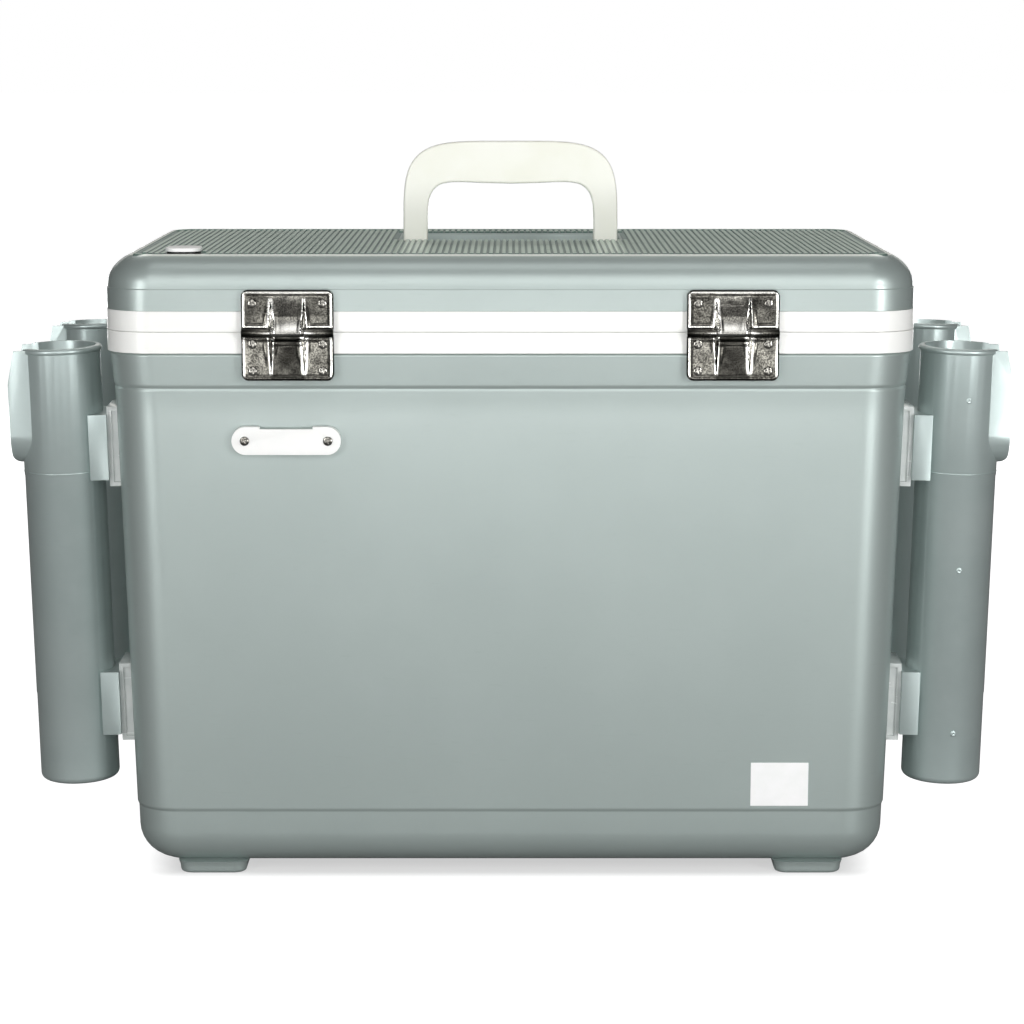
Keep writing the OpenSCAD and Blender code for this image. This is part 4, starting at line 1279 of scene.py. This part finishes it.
@dataclass
class Fittings:
    """Hinges on the back, latches on the front, and their screws."""

    spread: float = 131.3
    hinge_z: float = 335.0
    hasp_z: float = 344.0
    low_reach: float = 28.5
    high_reach: float = 25.3

    def build(self) -> None:
        """Makes and dresses the steel pieces."""
        latch_reach = self.hinge_z + self.high_reach - self.hasp_z
        for word, sign in (("left", -1), ("right", 1)):
            x = sign * self.spread
            low = Plate(x, self.hinge_z, -1, self.low_reach, -1, Knuckle.SIDES, 5.2, 0.8)
            high = Plate(x, self.hinge_z, 1, self.high_reach, -1, Knuckle.CENTRE, 0.3)
            latch = Plate(x, self.hasp_z, 1, latch_reach, 1, Knuckle.SIDES, 0.3, 0.45)
            for plate, name, body, node in (
                (low, "hinge_lower_plate", "box", "hinge_lower_leaf"),
                (high, "hinge_upper_plate", "lid", "hinge_upper_leaf"),
                (latch, "latch_top_plate", "lid", "latch_plate"),
            ):
                dress(plate.build(f"{name}_{word}"), Slot.STEEL, body, f"{node}_{word}")
            hasp = bevelled_copy(f"latch_hasp_{word}", f"latch_flap_{word}", 0.35)
            dress(hasp, Slot.STEEL, f"hasp_{word}", f"latch_hasp_{word}")
            catch = bevelled_copy(f"latch_catch_{word}", f"latch_catch_plate_{word}", 0.3)
            dress(catch, Slot.STEEL, "box", f"latch_catch_{word}")
            keep(Slot.SCREW, f"hinge_pin_{word}", f"latch_pin_{word}")
        keep(Slot.SCREW, "hinge_lower_screws", "hinge_upper_screws")
        keep(Slot.SCREW, "latch_plate_screws", "latch_catch_screws")
        hanger = bevelled_copy("pump_hanger", "pump_hanger_plate", 0.7)
        dress(hanger, Slot.FITTING, "box", "pump_hanger")
        keep(Slot.SCREW, "pump_hanger_screws", "rod_tube_screws")


@dataclass
class Tubes:
    """Four rod tubes and the clear spacers that hold them off the box."""

    edge: float = 0.8
    spacer_edge: float = 0.5
    axis_x: float = 272.43
    axis_y: float = 76.6
    axis_z: float = 190.0
    lean: float = 1.4
    fan: float = 1.3
    radius: float = 24.85
    seam_z: float = 245.2
    marks: tuple[tuple[float, float], ...] = ((290.5, 5.8), (185.8, 4.2), (83.3, 7.7))
    foot_z: float = 50.5
    cores: tuple[tuple[float, float], ...] = ((188.2, 231.8), (28.7, 71.8))
    core_in: float = 31.7
    core_out: float = 37.3
    core_half: float = 14.6

    def axis(self, side_x: int, side_y: int) -> tuple[Array, Array]:
        """Returns a point on a tube's axis at half height and the axis's direction."""
        lean, fan = math.radians(self.lean), math.radians(self.fan)
        rise = math.cos(lean) * math.cos(fan)
        way = np.array([side_x * math.sin(lean), side_y * math.sin(fan), rise])
        middle = np.array([side_x * self.axis_x, side_y * self.axis_y, self.axis_z])
        return middle, way / np.linalg.norm(way)

    def seam(self, side_x: int, side_y: int) -> Array:
        """Levels of the fine ring where the tube's mould parts, square to its axis."""
        middle, way = self.axis(side_x, side_y)
        first = np.cross(way, [0.0, 1.0, 0.0])
        first = first / np.linalg.norm(first)
        second = np.cross(way, first)
        turn = turns(120)[:, None]
        around = np.cos(turn) * first + np.sin(turn) * second
        levels = [(-0.5, -0.5), (0.0, -0.5), (0.22, -0.15), (0.22, 0.15), (0.0, 0.5), (-0.5, 0.5)]
        base = middle + way * (self.seam_z - self.axis_z)
        return np.stack([base + around * (self.radius + out) + way * up for out, up in levels])

    def mark(self, z: float, turn: float) -> Array:
        """Levels of one gate mark: a small raised ring with a pit, on the back right tube."""
        middle, way = self.axis(1, -1)
        angle = math.radians(turn)
        out = np.array([math.sin(angle), -math.cos(angle), 0.0])
        out = out - way * out.dot(way)
        side = np.cross(way, out)
        round_turn = turns(28)[:, None]
        around = np.cos(round_turn) * way + np.sin(round_turn) * side
        levels = [(1.9, -0.6), (1.9, -0.02), (1.3, 0.3), (0.85, 0.42), (0.5, 0.12), (0.08, 0.02)]
        base = middle + way * (z - self.axis_z) + out * self.radius
        return np.stack([base + around * radius + out * up for radius, up in levels])

    def core(self, side_x: int, side_y: int, span: tuple[float, float]) -> Array:
        """Levels of the clear block that fills a spacer's frame, in the tube's own directions."""
        middle, way = self.axis(side_x, side_y)
        out = np.array([float(side_x), 0.0, 0.0])
        out = out - way * out.dot(way)
        near, far, half = self.core_in, self.core_out, self.core_half
        ring = np.array([(-near, -half), (-far, -half), (-far, half), (-near, half)])
        flat = ring[:, :1] * out + ring[:, 1:] * np.cross(way, out)
        return np.stack([middle + way * (self.foot_z + z - self.axis_z) + flat for z in span])

    def build(self) -> None:
        """Makes and dresses the tubes, their mould marks and the spacers with their cores."""
        for side_y, depth in ((-1, "back"), (1, "front")):
            for side_x, word in ((-1, "left"), (1, "right")):
                solid = Solid().loft(self.seam(side_x, side_y))
                if (side_x, side_y) == (1, -1):
                    for z, turn in self.marks:
                        solid.loft(self.mark(z, turn))
                dress(solid.build(f"tube_mould_marks_{depth}_{word}", 60.0), Slot.TUBE, "box")
                cores = Solid()
                for span in self.cores:
                    cores.loft(self.core(side_x, side_y, span))
                dress(cores.build(f"clear_spacer_cores_{depth}_{word}"), Slot.CLEAR, "box")
        for depth in ("back", "front"):
            for word in ("left", "right"):
                end = f"{depth}_{word}"
                tube = bevelled_copy(f"rod_tube_{end}", f"rod_holder_{end}", self.edge)
                dress(tube, Slot.TUBE, "box", f"rod_tube_{end}")
                for level in ("upper", "lower"):
                    node = f"tube_spacer_{level}_{end}"
                    spacer = bevelled_copy(node, f"clear_{level}_spacer_{end}", self.spacer_edge)
                    dress(spacer, Slot.CLEAR, "box", node)


# -------------------------------------------------------------------- studio


@dataclass(frozen=True)
class Lamp:
    """A soft square lamp, aimed at a point.

    Args:
        name: The lamp's name.
        place: Where it stands, in metres.
        aim: What it faces.
        size: Width and height.
        power: Watts.
        colour: Colour of its light.
    """

    name: str
    place: Triple
    aim: Triple
    size: tuple[float, float]
    power: float
    colour: Triple = (1.0, 1.0, 1.0)

    def build(self) -> None:
        """Adds the lamp to the scene."""
        data = bpy.data.lights.new(self.name, "AREA")
        data.shape = "RECTANGLE"
        data.size, data.size_y = self.size
        data.energy = self.power
        data.color = self.colour
        lamp = link(self.name, data)
        lamp.location = self.place
        lamp.visible_camera = False
        facing = Vector(self.aim) - Vector(self.place)
        lamp.rotation_euler = facing.to_track_quat("-Z", "Y").to_euler()


@dataclass
class Studio:
    """White studio: floor, soft lamps, world and camera."""

    camera_place: Triple = (0.001, -1.9064, 0.5024)
    camera_down: float = 8.84
    camera_lens: float = 105.52
    world_light: float = 0.05
    floor_glow: float = 1.0
    floor_shade: float = 0.56
    floor_bounce: float = 0.25
    floor_pale: float = 0.3
    floor_reach: float = 30.0
    under_x: tuple[float, float] = (0.2, 0.235)
    under_y: tuple[float, float] = (0.113, 0.137)
    lamps: tuple[Lamp, ...] = (
        Lamp("strip_left", (-1.02, -1.45, 0.5), (-0.1, -0.1, 0.2), (0.4, 1.1), 9.5),
        Lamp("strip_right", (1.02, -1.45, 0.5), (0.1, -0.1, 0.2), (0.4, 1.1), 15.0),
        Lamp("card", (0.0, -1.72, 0.03), (0.0, -1.3, 1.5), (0.82, 0.9), 12.8),
        Lamp("front", (0.0, -2.6, 1.75), (0.0, 0.0, 1.6), (1.5, 2.1), 22.5),
        Lamp("top", (0.0, -0.5, 2.6), (0.0, -0.1, 0.3), (1.0, 0.8), 4.5),
        Lamp("rear", (0.0, 2.3, 0.16), (0.0, 0.0, 0.16), (2.6, 0.28), 15.0),
        Lamp("back", (0.0, 2.6, 0.98), (0.0, 0.0, 0.38), (3.2, 0.45), 6.0, (1.0, 0.99, 0.95)),
        Lamp("rim", (0.0, 2.0, 2.3), (0.0, 0.0, 0.35), (2.4, 0.5), 15.0, (1.0, 0.99, 0.96)),
    )

    def floor(self) -> None:
        """Lays a large pale floor that glows evenly for the camera, with a painted shadow under the
        box where the glow is dimmed.
        """
        mesh = bpy.data.meshes.new("floor")
        reach = self.floor_reach
        corners = [(-reach, -reach, 0), (reach, -reach, 0), (reach, reach, 0), (-reach, reach, 0)]
        mesh.from_pydata(corners, [], [(0, 1, 2, 3)])
        floor = link("floor", mesh)
        paper = bpy.data.materials.new("floor_paper")
        graph = Graph(paper)
        grey = {"Base Color": (*(self.floor_bounce,) * 3, 1.0), "Roughness": 0.9}
        pale = {"Base Color": (*(self.floor_pale,) * 3, 1.0), "Roughness": 0.9}
        # Painted shadow: the floor's glow falls to floor_shade under the box.
        under = graph.span(graph.across("X"), *self.under_x, 1.0, 0.0)
        under = under * graph.span(graph.across("Y"), *self.under_y, 1.0, 0.0)
        glow_and_painted_shadow = graph.tint(under, (1.0, 1.0, 1.0), (self.floor_shade,) * 3)
        lit = pale | {"Emission Color": glow_and_painted_shadow, "Emission Strength": self.floor_glow}
        bounce = graph.node("ShaderNodeBsdfPrincipled", inputs=grey)
        shown = graph.node("ShaderNodeBsdfPrincipled", inputs=lit)
        graph.finish(graph.seen(bounce, shown))
        mesh.materials.append(paper)

    def world(self) -> None:
        """Lights the scene evenly and shows the camera plain white."""
        world = bpy.data.worlds.new("studio")
        bpy.context.scene.world = world
        graph = Graph(world)
        white = {"Color": (1.0, 1.0, 1.0, 1.0)}
        light = graph.node("ShaderNodeBackground", inputs=white | {"Strength": self.world_light})
        graph.finish(graph.seen(light, graph.node("ShaderNodeBackground", inputs=white)))

    def camera(self) -> None:
        """Sets the camera where the photograph was taken from."""
        data = bpy.data.cameras.new("camera")
        data.lens = self.camera_lens
        data.sensor_width = 36.0
        camera = link("camera", data)
        camera.location = self.camera_place
        camera.rotation_euler = (math.radians(90.0 - self.camera_down), 0.0, 0.0)
        bpy.context.scene.camera = camera

    def build(self) -> None:
        """Sets up the studio."""
        self.floor()
        self.world()
        self.camera()
        for lamp in self.lamps:
            lamp.build()
        bpy.context.scene.view_settings.view_transform = "Standard"


def main() -> None:
    """Builds every piece and sets up the studio."""
    logging.basicConfig(level=logging.INFO, format="%(name)s: %(message)s")
    for group in (Box(), Lid(), Handle(), Fittings(), Tubes(), Studio()):
        LOG.info("building %s", type(group).__name__)
        group.build()


if __name__ == "__main__":
    main()
